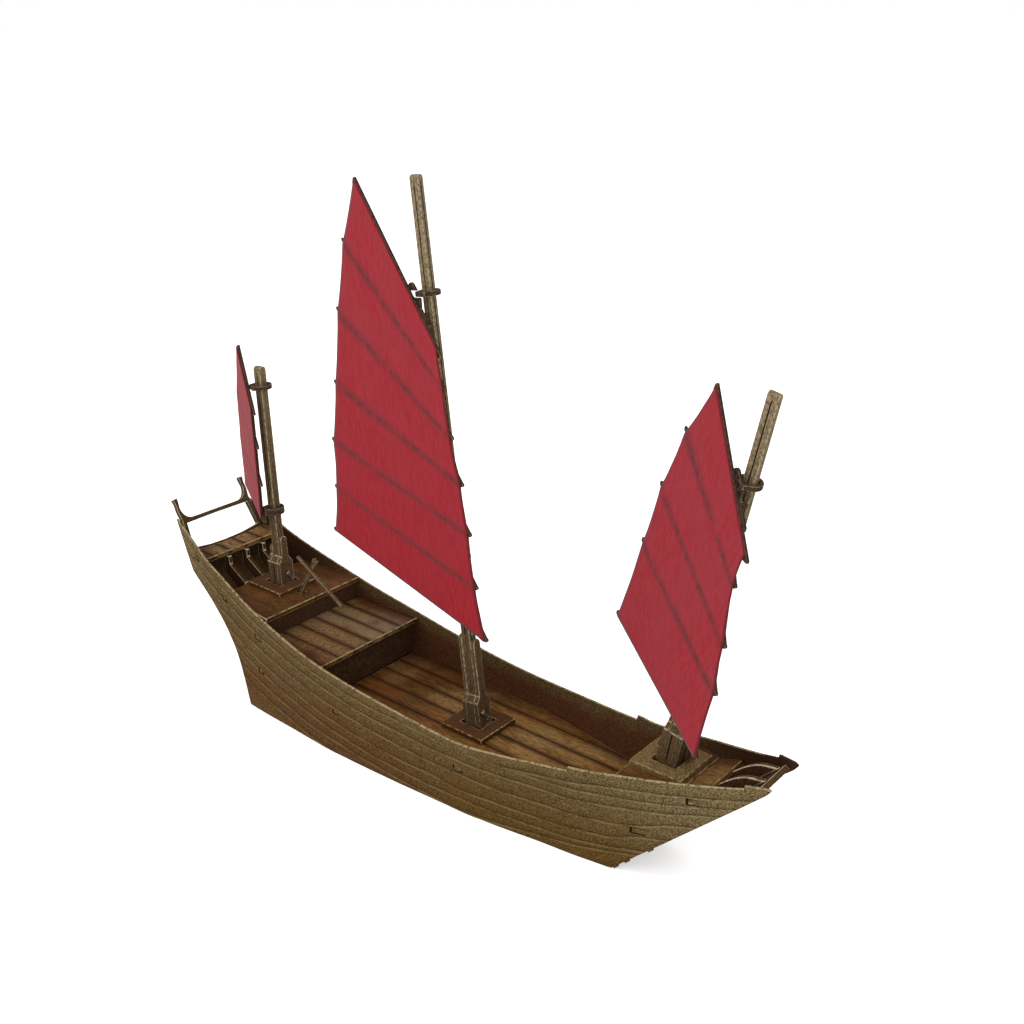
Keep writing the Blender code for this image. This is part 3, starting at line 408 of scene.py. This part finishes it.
def hull_paint():
    """The sides' paint: olive outside, browner low down, dark grooves with painted shade and light lips with
    painted highlights on the strakes, and painted shade inside.
    """
    paint, tone, speckle = board_paint("paint_hull", (0.034, 0.019, 0.006), (0.225, 0.158, 0.066),
                                       (0.085, 0.047, 0.014), (0.75, 1, 1), 2300, 0.8, 0.03)
    along = paint.axis(0)
    height = paint.plus(paint.axis(2), paint.times(paint.noise(30), 0.02))
    depth = paint.attribute("depth")

    # Brown low down and aft, redder toward the stern
    low = paint.times(paint.ramp(height, 0.052, 0.014), 0.85)
    aft = paint.times(paint.ramp(along, 0.0, -0.12), 0.25)
    red = paint.ramp(along, 0.06, -0.03)
    brown = paint.mix(speckle, paint.mix(red, (0.04, 0.018, 0.004), (0.034, 0.012, 0.003)),
                      paint.mix(red, (0.125, 0.070, 0.016), (0.12, 0.057, 0.018)))
    tone = paint.mix(paint.larger(low, aft), tone, brown)

    # Paler along the rail and at both ends
    rail = paint.times(paint.ramp(depth, 5.0, 0.5), 0.2)
    bow = paint.times(paint.ramp(along, 0.05, 0.12), paint.ramp(height, 0.015, 0.045))
    pale = paint.larger(rail, paint.times(bow, 0.45))
    pale = paint.larger(pale, paint.times(paint.ramp(along, -0.10, -0.14), 0.5))
    tone = paint.mix(pale, tone, paint.mix(speckle, (0.05, 0.036, 0.016), (0.25, 0.20, 0.10)))

    # Dark wash and painted shade in and under the strakes' grooves, and light lips that are partly
    # dry-brushed and partly painted highlights
    groove_wash_and_shade = paint.times(paint.attribute("groove_wash_and_shade"), paint.plus(0.15, paint.times(paint.noise(160), 0.6)))
    tone = paint.mix(groove_wash_and_shade, tone, (0.024, 0.012, 0.003))
    lip_brush_and_highlight = paint.times(paint.attribute("edge"), paint.ramp(paint.noise(300, 3.0, (0.25, 1, 1)), 0.3, 0.6))
    tone = paint.mix(paint.times(lip_brush_and_highlight, 0.22), tone, (0.30, 0.23, 0.105))

    # Inside: red-brown wash, olive just under the rail, and painted shade that deepens down the wall and
    # toward both ends
    wall = paint.mix(paint.times(speckle, 0.6), (0.04, 0.013, 0.005), (0.125, 0.050, 0.022))
    wall_top = paint.mix(speckle, (0.042, 0.023, 0.008), (0.12, 0.078, 0.033))
    wander = paint.times(paint.minus(paint.noise(90), 0.5), 6.0)
    shade = paint.ramp(paint.plus(depth, wander), 1.0, 7.0)
    ends = paint.larger(paint.ramp(along, 0.085, 0.125), paint.ramp(along, -0.06, -0.11))
    shade = paint.larger(shade, paint.times(ends, 0.95))
    wall = paint.mix(ends, wall, (0.034, 0.014, 0.007))
    tone = paint.mix(paint.attribute("inside"), tone, paint.mix(shade, wall_top, wall))

    # Light paint rubbed along the rim
    rim = paint.times(paint.attribute("rim"), paint.ramp(paint.noise(700, 2.0), 0.34, 0.56))
    tone = paint.mix(paint.times(rim, 0.75), tone, (0.36, 0.29, 0.16))
    return paint.finish(tone, speckle, 0.3)


def deck_paint(name, rub_and_sheen, planked, cover=0.50, pale=0.0):
    """Decks: red-brown wash, dark joints every plank, pale patches that are partly rubbed wash and partly a
    painted sheen, and painted shade under the sides.
    """
    paint, tone, speckle = board_paint(name, (0.045, 0.017, 0.004), (0.135, 0.062, 0.017),
                                       (0.15, 0.045, 0.009), (0.22, 1, 1), 1300, 0.6, 0.04)
    ahead = paint.mix(speckle, (0.11, 0.05, 0.012), (0.27, 0.14, 0.038))
    tone = paint.mix(paint.times(paint.ramp(paint.axis(0), -0.03, 0.03), 0.6), tone, ahead)

    # Pale patches, partly where the wash is rubbed away and partly a painted sheen, and a painted grey sheen
    # to port
    rubbed = paint.times(paint.ramp(paint.noise(38, 2.0, (0.7, 1, 1), 2.6), cover, cover + 0.16),
                         paint.ramp(paint.noise(1500, 3.0, (0.35, 1, 1), 2.0), 0.3, 0.66))
    tone = paint.mix(paint.times(rubbed, rub_and_sheen), tone, (0.26, 0.165, 0.07))
    port = paint.times(paint.ramp(paint.axis(1), -0.010, 0.008), paint.ramp(paint.noise(75, 2.0), 0.35, 0.6))
    tone = paint.mix(paint.times(port, pale), tone, (0.165, 0.12, 0.078))

    # Dark wash on both sides of each joint
    plank = PLANK * MM
    across = paint.calculate("MODULO", paint.plus(paint.axis(1), 10 * plank + plank / 2), plank)
    across = paint.unsigned(paint.minus(across, plank / 2))
    streaks = paint.plus(0.2, paint.noise(110, 2.0, (0.3, 1, 1)))
    wash = paint.times(paint.ramp(across, 0.0026, 0.0003), paint.times(planked, streaks))
    tone = paint.mix(wash, tone, (0.038, 0.014, 0.004))

    # Painted shade on the deck where it runs under the sides, which draw in toward the bow
    narrow = paint.times(paint.ramp(paint.axis(0), 0.03, 0.125), 0.012)
    side = paint.plus(paint.unsigned(paint.axis(1)), narrow)
    side = paint.plus(side, paint.times(paint.noise(70, 2.0), 0.008))
    tone = paint.mix(paint.times(paint.ramp(side, 0.019, 0.029), 0.85), tone, (0.045, 0.012, 0.004))

    # The joints themselves, dark in broken lengths
    broken = paint.ramp(paint.noise(90, 2.0, (0.3, 1, 1), 5.0), 0.2, 0.5)
    joint = paint.times(paint.ramp(across, 0.0005, 0.0002), broken)
    tone = paint.mix(paint.times(joint, 0.7 * planked), tone, (0.026, 0.009, 0.003))
    return paint.finish(tone, speckle, 0.2)


def mast_paint():
    """Laminated masts: dark wash in the grain, rubbed lighter toward the head."""
    paint, tone, speckle = board_paint("paint_mast", (0.045, 0.027, 0.011), (0.27, 0.20, 0.105),
                                       (0.075, 0.045, 0.02), (1, 1, 0.45), 2000)
    height = paint.plus(paint.axis(2), paint.times(paint.noise(40), 0.02))
    washed = paint.mix(0.6, tone, (0.054, 0.027, 0.012))
    rubbed = paint.mix(paint.times(speckle, 0.75), (0.098, 0.070, 0.037), (0.28, 0.215, 0.13))
    return paint.finish(paint.mix(paint.ramp(height, 0.07, 0.20), washed, rubbed), speckle, 0.3)


def sail_paint():
    """Crimson sheet with upright grain, faded toward the head, dark bands over the battens, and each sail's
    own share of painted shade.
    """
    paint = Paint("paint_sail", 0.9, 0.04)
    paint.shader.inputs["Sheen Weight"].default_value = 0.08
    paint.shader.inputs["Sheen Roughness"].default_value = 0.45
    grain = paint.ramp(paint.noise(1100, 3.0, (1, 0.2, 1)), 0.35, 0.66)
    cloud = paint.ramp(paint.noise(60, 3.0, (1, 0.6, 1), 4.0), 0.35, 0.65)
    fine = paint.ramp(paint.noise(2600, 1.0), 0.3, 0.7)
    faded = paint.attribute("faded")
    tone = paint.mix(grain, (0.212, 0.006, 0.012), (0.252, 0.012, 0.018))
    tone = paint.mix(faded, tone, paint.mix(grain, (0.228, 0.014, 0.022), (0.262, 0.021, 0.030)))
    clouded = paint.mix(faded, (0.21, 0.014, 0.022), (0.225, 0.030, 0.038))
    tone = paint.mix(paint.times(cloud, 0.4), tone, clouded)
    # Painted shade over the whole sheet, as much as the sail's share
    tone = paint.mix(paint.attribute("painted_shade"), tone, (0.085, 0.006, 0.008))
    tone = paint.mix(paint.times(fine, 0.25), tone, (0.17, 0.014, 0.018))

    # Each batten's line: a soft crackled band with a darker core
    batten = paint.attribute("batten")
    crackle = paint.ramp(paint.noise(900, 2.0, (1, 0.16, 1), 6.0), 0.3, 0.65)
    band = paint.times(paint.ramp(batten, 0.3, 0.9), paint.plus(0.35, paint.times(crackle, 0.65)))
    band = paint.times(band, paint.ramp(paint.noise(120, 2.0, (1, 1, 1), 9.0), 0.15, 0.55))
    tone = paint.mix(paint.times(band, 0.75), tone, (0.088, 0.020, 0.023))
    broken = paint.ramp(paint.noise(380, 3.0, (0.6, 1, 1), 1.0), 0.45, 0.6)
    core = paint.times(paint.ramp(batten, 0.78, 0.95), broken)
    tone = paint.mix(paint.times(core, 0.6), tone, (0.055, 0.02, 0.018))

    # The sheet's cut border
    tone = paint.mix(paint.times(paint.attribute("edge"), 0.75), tone, (0.07, 0.014, 0.014))
    return paint.finish(tone, grain, 0.1)


HULL = hull_paint()
DECK = deck_paint("paint_deck", 0.55, 1.0)
SECOND_DECK = deck_paint("paint_second_deck", 0.6, 1.0, 0.40, 0.5)
PLAIN_DECK = deck_paint("paint_plain_deck", 0.15, 0.35)
SEAT = deck_paint("paint_seat", 0.75, 1.0, 0.36)
STERN_FRAME = plain_board("paint_stern_frame", (0.035, 0.02, 0.009), (0.115, 0.078, 0.038),
                          (0.055, 0.026, 0.010))
SAIL = sail_paint()
MAST = mast_paint()
PLATE = plain_board("paint_plate", (0.041, 0.0155, 0.005), (0.103, 0.044, 0.016), (0.076, 0.028, 0.008))
FORE_PLATE = plain_board("paint_fore_plate", (0.085, 0.05, 0.016), (0.26, 0.175, 0.075), (0.13, 0.08, 0.03))
FRAME = plain_board("paint_frame", (0.03, 0.012, 0.005), (0.085, 0.042, 0.018), (0.045, 0.015, 0.006), 1100)
SPAR = plain_board("paint_spar", (0.02, 0.011, 0.006), (0.095, 0.058, 0.033), (0.035, 0.018, 0.010), 1200)
BOTTOM = plain_board("paint_bottom", (0.04, 0.019, 0.006), (0.12, 0.07, 0.027), (0.07, 0.03, 0.010))
CUT = plain_board("paint_cut", (0.010, 0.005, 0.002), (0.03, 0.017, 0.007), (0.015, 0.008, 0.003))
HULL_EDGE = edge_paint("edge_hull", (0.10, 0.07, 0.03), (0.34, 0.27, 0.15))
DECK_EDGE = edge_paint("edge_deck", (0.10, 0.05, 0.018), (0.36, 0.255, 0.12), 0.42, 420)
MAST_EDGE = edge_paint("edge_mast", (0.11, 0.075, 0.037), (0.36, 0.285, 0.175), 0.46)
PLATE_EDGE = edge_paint("edge_plate", (0.085, 0.044, 0.015), (0.38, 0.25, 0.11), 0.48, 600)
RIB_EDGE = edge_paint("edge_rib", (0.16, 0.11, 0.06), (0.50, 0.41, 0.26), 0.40)
FRAME_EDGE = edge_paint("edge_frame", (0.06, 0.035, 0.018), (0.22, 0.15, 0.085), 0.5)
SPAR_EDGE = edge_paint("edge_spar", (0.05, 0.03, 0.018), (0.20, 0.14, 0.09), 0.46)

# Plain boards of the hull and the rudder: paint, paint of the worn edges, wear, nodes
BOARDS = [
    (FRAME, FRAME_EDGE, 0.2, ("second_bulkhead", "aft_bulkhead", "fore_bulkhead")),
    (FRAME, RIB_EDGE, 0.4, ("stern_rib_port", "stern_rib_middle", "stern_rib_starboard", "bow_knee_port",
                            "bow_knee_starboard")),
    (STERN_FRAME, RIB_EDGE, 0.15, ("stern_frame",)),
    (BOTTOM, RIB_EDGE, 0.4, ("bow_board",)),
    (BOTTOM, HULL_EDGE, 0.2, ("stern_counter", "hull_bottom")),
    (BOTTOM, HULL_EDGE, 0.25, ("rudder_blade",)),
    (MAST, MAST_EDGE, 0.15, ("rudder_stock", "tiller")),
    (MAST, MAST_EDGE, 0.3, ("mast_main_peg", "mast_mizzen_peg", "mast_fore_lug_fore", "mast_fore_lug_aft")),
    (SPAR, SPAR_EDGE, 0.15, ("sail_main_doubler", "sail_main_doubler_tip", "sail_fore_doubler",
                             "sail_fore_doubler_tip")),
]


def build(name, points, faces, material, attributes=None):
    """A mesh piece with its point attributes, welded and with its normals outward."""
    mesh = bpy.data.meshes.new(name)
    mesh.from_pydata([tuple(p) for p in points], [], faces)
    mesh.update()
    for key, values in (attributes or {}).items():
        layer = mesh.attributes.new(key, "FLOAT", "POINT")
        layer.data.foreach_set("value", values)
    work = bmesh.new()
    work.from_mesh(mesh)
    bmesh.ops.remove_doubles(work, verts=work.verts, dist=2e-6)
    bmesh.ops.dissolve_degenerate(work, edges=work.edges, dist=1e-6)
    bmesh.ops.recalc_face_normals(work, faces=work.faces)
    work.to_mesh(mesh)
    work.free()
    mesh.materials.append(material)
    item = bpy.data.objects.new(name, mesh)
    bpy.context.scene.collection.objects.link(item)
    return item


def rings(rows):
    """Faces between rows of points, each row a closed ring, and over both ends."""
    count = len(rows[0])
    faces = []
    for r in range(len(rows) - 1):
        for c in range(count):
            d = (c + 1) % count
            faces.append((r * count + c, r * count + d, (r + 1) * count + d, (r + 1) * count + c))
    faces.append(tuple(reversed(range(count))))
    faces.append(tuple((len(rows) - 1) * count + c for c in range(count)))
    return faces


def block(centre, along, up, size):
    """Corner points and faces of a block, its size given along, up and across in millimetres."""
    matrix = frame_at(centre, along, up)
    points = [matrix @ Vector((a * size[0] / 2 * MM, b * size[1] / 2 * MM, c * size[2] / 2 * MM))
              for a in (-1, 1) for b in (-1, 1) for c in (-1, 1)]
    return points, [(0, 1, 3, 2), (4, 6, 7, 5), (0, 4, 5, 1), (2, 3, 7, 6), (0, 2, 6, 4), (1, 5, 7, 3)]


def join(blocks):
    """Points and faces of several blocks as one list of each."""
    points, faces = [], []
    for more_points, more_faces in blocks:
        start = len(points)
        points += more_points
        faces += [tuple(i + start for i in face) for face in more_faces]
    return points, faces


def carve(item, name, blocks, lining=None):
    """Take the blocks out of a piece, and line the cuts with a paint of their own."""
    cutter = build(name, *join(blocks), lining or HULL)
    cutter.hide_render = True
    cutter.hide_viewport = True
    modifier = item.modifiers.new(name, "BOOLEAN")
    modifier.operation = "DIFFERENCE"
    modifier.solver = "EXACT"
    modifier.material_mode = "TRANSFER" if lining else "INDEX"
    modifier.object = cutter


def dress(node, paint, edge, wear, cuts=()):
    """Paint a board of the model and catch the light paint on its worn edges."""
    item = NODES[node]
    item.data.materials.clear()
    item.data.materials.append(paint)
    item.data.materials.append(edge)
    modifier = item.modifiers.new("welded", "WELD")
    modifier.merge_threshold = WELD_WITHIN * MM
    modifier = item.modifiers.new("worn_edges", "BEVEL")
    modifier.width = wear * MM
    modifier.segments = 2
    modifier.limit_method = "ANGLE"
    modifier.angle_limit = math.radians(WORN_ANGLE)
    modifier.material = 1
    modifier.use_clamp_overlap = False
    if cuts:
        carve(item, node + "_grain", cuts)
    return item


def side_stations():
    """Places along the hull, closer together at the ends and on both sides of each step of the rail."""
    places = list(np.linspace(STERN_TOP_X, TRANSOM_FOOT_X, 10))
    places += list(np.linspace(TRANSOM_FOOT_X, BOTTOM_AFT_X, 34)[1:])
    places += list(np.linspace(BOTTOM_AFT_X, BOTTOM_FORE_X, 130)[1:])
    places += list(np.linspace(BOTTOM_FORE_X, TIP_X - TIP_ROUND, 44)[1:])
    places += [TIP_X - TIP_ROUND * (1 - math.sin(a)) for a in np.linspace(0.15, math.pi / 2, 8)]
    for step in (RAIL_X, LUG_X):
        places = [x for x in places if abs(x - step) > 0.5]
        places += [step - 0.12, step + 0.12]
    return sorted(places)


def side_rows(x):
    """Rows down the outside of one station: height, outward, groove's dark wash and painted shade, lip's
    dry-brush and painted highlight, rim.
    """
    low, top = side_heights(x)
    sheer = gunwale_height(x)
    rows = [(top - depth, outward, 0.0, 0.0, rim) for depth, outward, rim in RIM_OUTSIDE]
    last = rows[-1][0]
    for start, table in STRAKES:
        depth = float(np.interp(x, [row[0] for row in table], [row[1] for row in table]))
        present = 1.0 if start is None else float(np.clip((x - start) / STRAKE_START, 0.0, 1.0))
        first = sheer - depth - STRAKE_PROFILE[0][0]
        rows.append((min(last, (last + first) / 2), SIDE_FACE, 0.0, 0.0, 0.0))
        for offset, outward, groove_wash_and_shade, lip_brush_and_highlight in STRAKE_PROFILE:
            z = min(rows[-1][0], sheer - depth - offset)
            outward = SIDE_FACE + (outward - SIDE_FACE) * present
            rows.append((z, outward, groove_wash_and_shade * present, lip_brush_and_highlight * present, 0.0))
        last = rows[-1][0]
    rows.append((min(last, low + 0.25), SIDE_FACE, 0.0, 0.3, 0.0))
    rows.append((low, 2 * SIDE_FACE, 0.0, 0.3, 0.0))
    return [(max(z, low), *rest) for z, *rest in rows]


def side_ring(x, sign):
    """One station's ring of points: breadth, height, groove's dark wash and painted shade, lip's dry-brush
    and painted highlight, inside, rim.
    """
    low, top = side_heights(x)
    ring = [(half_breadth(x, z) + outward, z, groove_wash_and_shade, lip_brush_and_highlight, 0.0, rim)
            for z, outward, groove_wash_and_shade, lip_brush_and_highlight, rim in side_rows(x)]
    for share in np.linspace(0.0, 1.0, INNER_ROWS):
        z = low + share * (top - 0.25 - low)
        ring.append((half_breadth(x, z) - SIDE_SHEET, z, 0.0, 0.0, 1.0, 0.0))
    for depth, outward, inner, rim in RIM_INSIDE:
        ring.append((half_breadth(x, top) - SIDE_SHEET + outward, top - depth, 0.0, 0.0, inner, rim))
    if sign > 0 and x > DARK_RIM_X:
        ring = [(y, z, groove_wash_and_shade, lip_brush_and_highlight, max(inner, rim), 0.0) for y, z, groove_wash_and_shade, lip_brush_and_highlight, inner, rim in ring]
    return ring


def slots_and_tabs(sign):
    """Blocks that cut the slots in one side, and the ends of the decks' tabs that stand in them."""
    slots, tabs = [], []
    for x, z, length, width in TAB_SLOTS:
        fore, aft = (world(end, sign * half_breadth(end, z), z) for end in (x + 2, x - 2))
        along = fore - aft
        along.z = along.x * (gunwale_height(x + 2) - gunwale_height(x - 2)) / 4 * 0.5
        hole = world(x, sign * (half_breadth(x, z) + SLOT_OUT), z)
        tab = world(x, sign * (half_breadth(x, z) - TAB_IN), z)
        slots.append(block(hole, along, (0, 0, 1), (length + SLOT_PLAY, width + SLOT_PLAY, SLOT_CUT)))
        tabs.append(block(tab, along, (0, 0, 1), (length - TAB_PLAY, width - TAB_PLAY, TAB_THICK)))
    return slots, tabs


def stem_tabs(sign):
    """Ends of the bow board's tabs in one side's edge along the stem."""
    stem = (STEM_TOP_X - BOTTOM_FORE_X, 0, STEM_TOP_Z)
    tabs = []
    for along in STEM_TABS:
        x = BOTTOM_FORE_X + along * STEM_ADVANCE
        z = keel_height(x)
        place = world(x + 0.1, sign * (half_breadth(x, z) - 0.55), z - 0.1)
        tabs.append(block(place, stem, (stem[2], 0, -stem[0]), STEM_TAB_SIZE))
    return tabs


def hull_side(side_name, sign):
    """One bent side sheet, engraved with the strakes' edges outside and plain inside."""
    node = "hull_side_" + side_name
    name = "planked_side_" + side_name
    rows = []
    # The groove layer carries the strakes' dark wash and painted shade, and the edge layer carries the lips'
    # dry-brush and painted highlight
    layers = {"groove_wash_and_shade": [], "edge": [], "inside": [], "rim": [], "depth": []}
    for x in side_stations():
        ring = side_ring(x, sign)
        top = side_heights(x)[1]
        rows.append([world(x, sign * y, z) for y, z, *_ in ring])
        for y, z, *shares in ring:
            for key, value in zip(layers, (*shares, top - z)):
                layers[key].append(value)
    side = build(name, [p for row in rows for p in row], rings(rows), HULL, layers)
    slots, tabs = slots_and_tabs(sign)
    carve(side, name + "_slots", slots, CUT)
    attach(side, "hull")
    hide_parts(node)
    ends = build(name + "_tabs", *join(tabs + stem_tabs(sign)), HULL)
    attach(ends, "hull")


def plank_joints(top, aft, fore, half):
    """Bars that engrave the joints between the planks of a deck."""
    size = (fore - aft - JOINT_INSET, *JOINT_SECTION)
    return [block(world((aft + fore) / 2, y, top), (1, 0, 0), (0, 1, 0), size)
            for y in PLANK_LINES if abs(y) < half]


def decks():
    for node, paint in (("main_deck", DECK), ("second_deck", SECOND_DECK), ("poop_seat", SEAT)):
        item = dress(node, paint, DECK_EDGE, DECK_WEAR)
        carve(item, node + "_joints", plank_joints(*PLANKED[node]))
    for node in ("aft_deck", "fore_deck", "bow_deck"):
        dress(node, PLAIN_DECK, DECK_EDGE, DECK_WEAR)


def mast_axes(name):
    """Rows that turn a mast's own axes (aft, port, up along the mast) into the frame's."""
    angle = math.radians(MASTS[name][2])
    return Matrix(((-math.cos(angle), 0, math.sin(angle)), (0, 1, 0), (math.sin(angle), 0, math.cos(angle))))


def mast_grooves(name):
    """V grooves along the layers' faces of a mast: for its core, its fore cheek and its aft cheek."""
    foot_x, foot_z, rake = MASTS[name]
    length, shoulder, low, high, fore_top, aft_top = MAST_SIZES[name]
    axes = mast_axes(name)

    def bar(start, end, outward):
        a, b = (Vector(p) @ axes * MM for p in (start, end))
        facing = Vector(outward) @ axes
        edge_on = facing + (b - a).normalized().cross(facing)
        middle = world(foot_x, 0, foot_z) + (a + b) / 2
        return block(middle, b - a, edge_on, ((b - a).length / MM, GROOVE, GROOVE))

    core, cheeks = [], []
    for sign, top in ((-1, fore_top), (1, aft_top)):
        side = (0, sign, 0)
        core.append(bar((0, sign * FOOT_HALF, 0.6), (0.2, sign * FOOT_HALF, shoulder - 0.8), side))
        core.append(bar((0.1, sign * low, shoulder + 3.2), (0, sign * low, GROOVE_BEND), side))
        core.append(bar((0, sign * low, GROOVE_BEND), (0, sign * high, length - 2.5), side))
        face = (sign, 0, 0)
        core.append(bar((sign * CORE_HALF, 0.1, top + 1.5), (sign * CORE_HALF, -0.1, length - 2.5), face))
        out = sign * CHEEK_FACE
        cheeks.append([bar((out, -1.3, 0.6), (out, -1.1, shoulder - 0.3), face),
                       bar((out, 1.2, 0.6), (out, 1.3, shoulder - 1.0), face),
                       bar((out, 0.1, shoulder + 1.6), (out, 0.0, top - 1.9), face)])
    return core, cheeks[0], cheeks[1]


def boards():
    for paint, edge, wear, nodes in BOARDS:
        for node in nodes:
            dress(node, paint, edge, wear)
    for mast in MASTS:
        core, fore, aft = mast_grooves(mast)
        dress("mast_" + mast, MAST, MAST_EDGE, 0.3, core)
        dress("mast_%s_cheek_fore" % mast, MAST, MAST_EDGE, 0.3, fore)
        dress("mast_%s_cheek_aft" % mast, MAST, MAST_EDGE, 0.3, aft)
        dress("mast_plate_" + mast, FORE_PLATE if mast == "fore" else PLATE, PLATE_EDGE, 0.3)
        dress("sail_%s_spars" % mast, SPAR, SPAR_EDGE, 0.15)
        dress("sail_%s_ring_upper" % mast, SPAR, SPAR_EDGE, 0.25)
        dress("sail_%s_ring_lower" % mast, SPAR, SPAR_EDGE, 0.25)


def sail_matrix(name):
    """Axes of a sail's plane: aft along the sail, up the mast, and across to port."""
    foot_x, foot_z, rake = MASTS[name]
    aft, port, up = mast_axes(name)
    swing = math.radians(SAILS[name]["swing"])
    along = aft * math.cos(swing) + port * math.sin(swing)
    across = port * math.cos(swing) - aft * math.sin(swing)
    return frame_at(world(foot_x, 0, foot_z) - across * (SAIL_OFFSET * MM), along, up)


def sail_lines(spec):
    """A sheet's lines from foot to head, by luff and leech point: each batten, then just past the yard."""
    lines = [(Vector(row[:2]), Vector(row[2:])) for row in spec["battens"]]
    low, peak = Vector(spec["yard"][:2]), Vector(spec["yard"][2:])
    yard = (peak - low).normalized()
    past = Vector((-yard.y, yard.x)) * SHEET_EDGE
    return lines + [(low + past, peak + past)]


def sheet_faces(rows, count):
    """Faces of a sheet whose points are its front's rows, then its back's, with a border between the two."""
    total = rows * count
    faces = []
    for r in range(rows - 1):
        for c in range(count - 1):
            a = r * count + c
            faces.append((a, a + 1, a + count + 1, a + count))
            faces.append((a + total, a + count + total, a + count + 1 + total, a + 1 + total))
    border = list(range(count))
    border += [r * count + count - 1 for r in range(1, rows)]
    border += [(rows - 1) * count + c for c in range(count - 2, -1, -1)]
    border += [r * count for r in range(rows - 2, 0, -1)]
    return faces + [(a, b, b + total, a + total) for a, b in zip(border, border[1:] + border[:1])]


def sail(name):
    """The sail's sheet: hollow edges between the battens, and a slight fullness in each panel."""
    spec = SAILS[name]
    lines = sail_lines(spec)
    panels = len(lines) - 1
    stations = [(i, k / PANEL_ROWS) for i in range(panels) for k in range(PANEL_ROWS)] + [(panels - 1, 1.0)]
    faded_low, faded_high = spec["faded"]
    front, back = [], []
    layers = {"batten": [], "edge": [], "faded": [], "painted_shade": []}
    for i, t in stations:
        middle = 4 * t * (1 - t)
        luff = lines[i][0].lerp(lines[i + 1][0], t) + Vector((HOLLOW[0] * middle, 0))
        leech = lines[i][1].lerp(lines[i + 1][1], t) - Vector((HOLLOW[1] * middle, 0))
        panel = (lines[i + 1][0] - lines[i][0]).length
        batten = max(0.0, 1.0 - min(t, 1 - t) * panel / BAND)
        if (i == 0 and t < 0.5) or (i == panels - 1 and t > 0.5):
            batten *= BAND_AT_ENDS
        faded = faded_low + (faded_high - faded_low) * i / (panels - 1)
        for c in range(SAIL_COLUMNS + 1):
            s = c / SAIL_COLUMNS
            p = luff.lerp(leech, s)
            swell = FULLNESS * math.sin(math.pi * t) * math.sin(math.pi * s)
            swell += RIPPLE * math.sin(p.x * 0.9 + 2.0 * math.sin(p.y * 0.23)) * math.sin(math.pi * t)
            front.append(Vector((p.x, p.y, -CLOTH / 2 - swell)) * MM)
            back.append(Vector((p.x, p.y, CLOTH / 2 - swell)) * MM)
            border = c in (0, SAIL_COLUMNS) or (i, t) in (stations[0], stations[-1])
            for key, value in zip(layers, (batten, float(border), faded, spec["painted_shade"])):
                layers[key].append(value)
    points = front + back
    layers = {key: values + values for key, values in layers.items()}
    faces = sheet_faces(len(stations), SAIL_COLUMNS + 1)
    sheet = build("sail_%s_cloth" % name, points, faces, SAIL, layers)
    sheet.matrix_world = sail_matrix(name)
    for face in sheet.data.polygons:
        face.use_smooth = abs(face.normal.z) > 0.6
    bpy.context.view_layer.update()
    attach(sheet, "sail_" + name)
    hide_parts("sail_%s_sheet" % name)


def studio():
    """White floor and world, with two large soft lights."""
    mesh = bpy.data.meshes.new("floor")
    corners = [(a * FLOOR_HALF, b * FLOOR_HALF, 0) for a, b in ((-1, -1), (1, -1), (1, 1), (-1, 1))]
    mesh.from_pydata(corners, [], [(0, 1, 2, 3)])
    floor = bpy.data.objects.new("floor", mesh)
    bpy.context.scene.collection.objects.link(floor)
    floor.location.z = -0.00005
    white = bpy.data.materials.new("floor_white")
    white.use_nodes = True
    shader = white.node_tree.nodes["Principled BSDF"]
    shader.inputs["Base Color"].default_value = (0.93, 0.93, 0.93, 1)
    shader.inputs["Roughness"].default_value = 0.95
    shader.inputs["Specular IOR Level"].default_value = 0.0
    shader.inputs["Emission Color"].default_value = (1.0, 1.0, 1.0, 1.0)
    shader.inputs["Emission Strength"].default_value = 0.4
    mesh.materials.append(white)
    surroundings = bpy.data.worlds.new("studio")
    surroundings.use_nodes = True
    background = surroundings.node_tree.nodes["Background"]
    background.inputs["Color"].default_value = (1.0, 1.0, 1.0, 1.0)
    background.inputs["Strength"].default_value = 1.0
    bpy.context.scene.world = surroundings
    for name, place, size, power in LIGHTS:
        light = bpy.data.lights.new(name, "AREA")
        light.shape = "SQUARE"
        light.size = size
        light.energy = power
        lamp = bpy.data.objects.new(name, light)
        lamp.location = place
        lamp.rotation_euler = (Vector(LIGHT_AIM) - Vector(place)).to_track_quat("-Z", "Y").to_euler()
        bpy.context.scene.collection.objects.link(lamp)


def camera():
    """The camera at the photo's viewing angle."""
    data = bpy.data.cameras.new("camera")
    data.lens = CAMERA_LENS
    data.sensor_width = 36.0
    data.clip_start = 0.01
    item = bpy.data.objects.new("camera", data)
    item.location = CAMERA_PLACE
    item.rotation_euler = [math.radians(angle) for angle in CAMERA_TURN]
    bpy.context.scene.collection.objects.link(item)
    bpy.context.scene.camera = item


camera()
bpy.context.scene.view_settings.view_transform = "Standard"
bpy.context.scene.view_settings.look = "None"
studio()
hull_side("port", 1)
hull_side("starboard", -1)
decks()
boards()
for sail_name in SAILS:
    sail(sail_name)
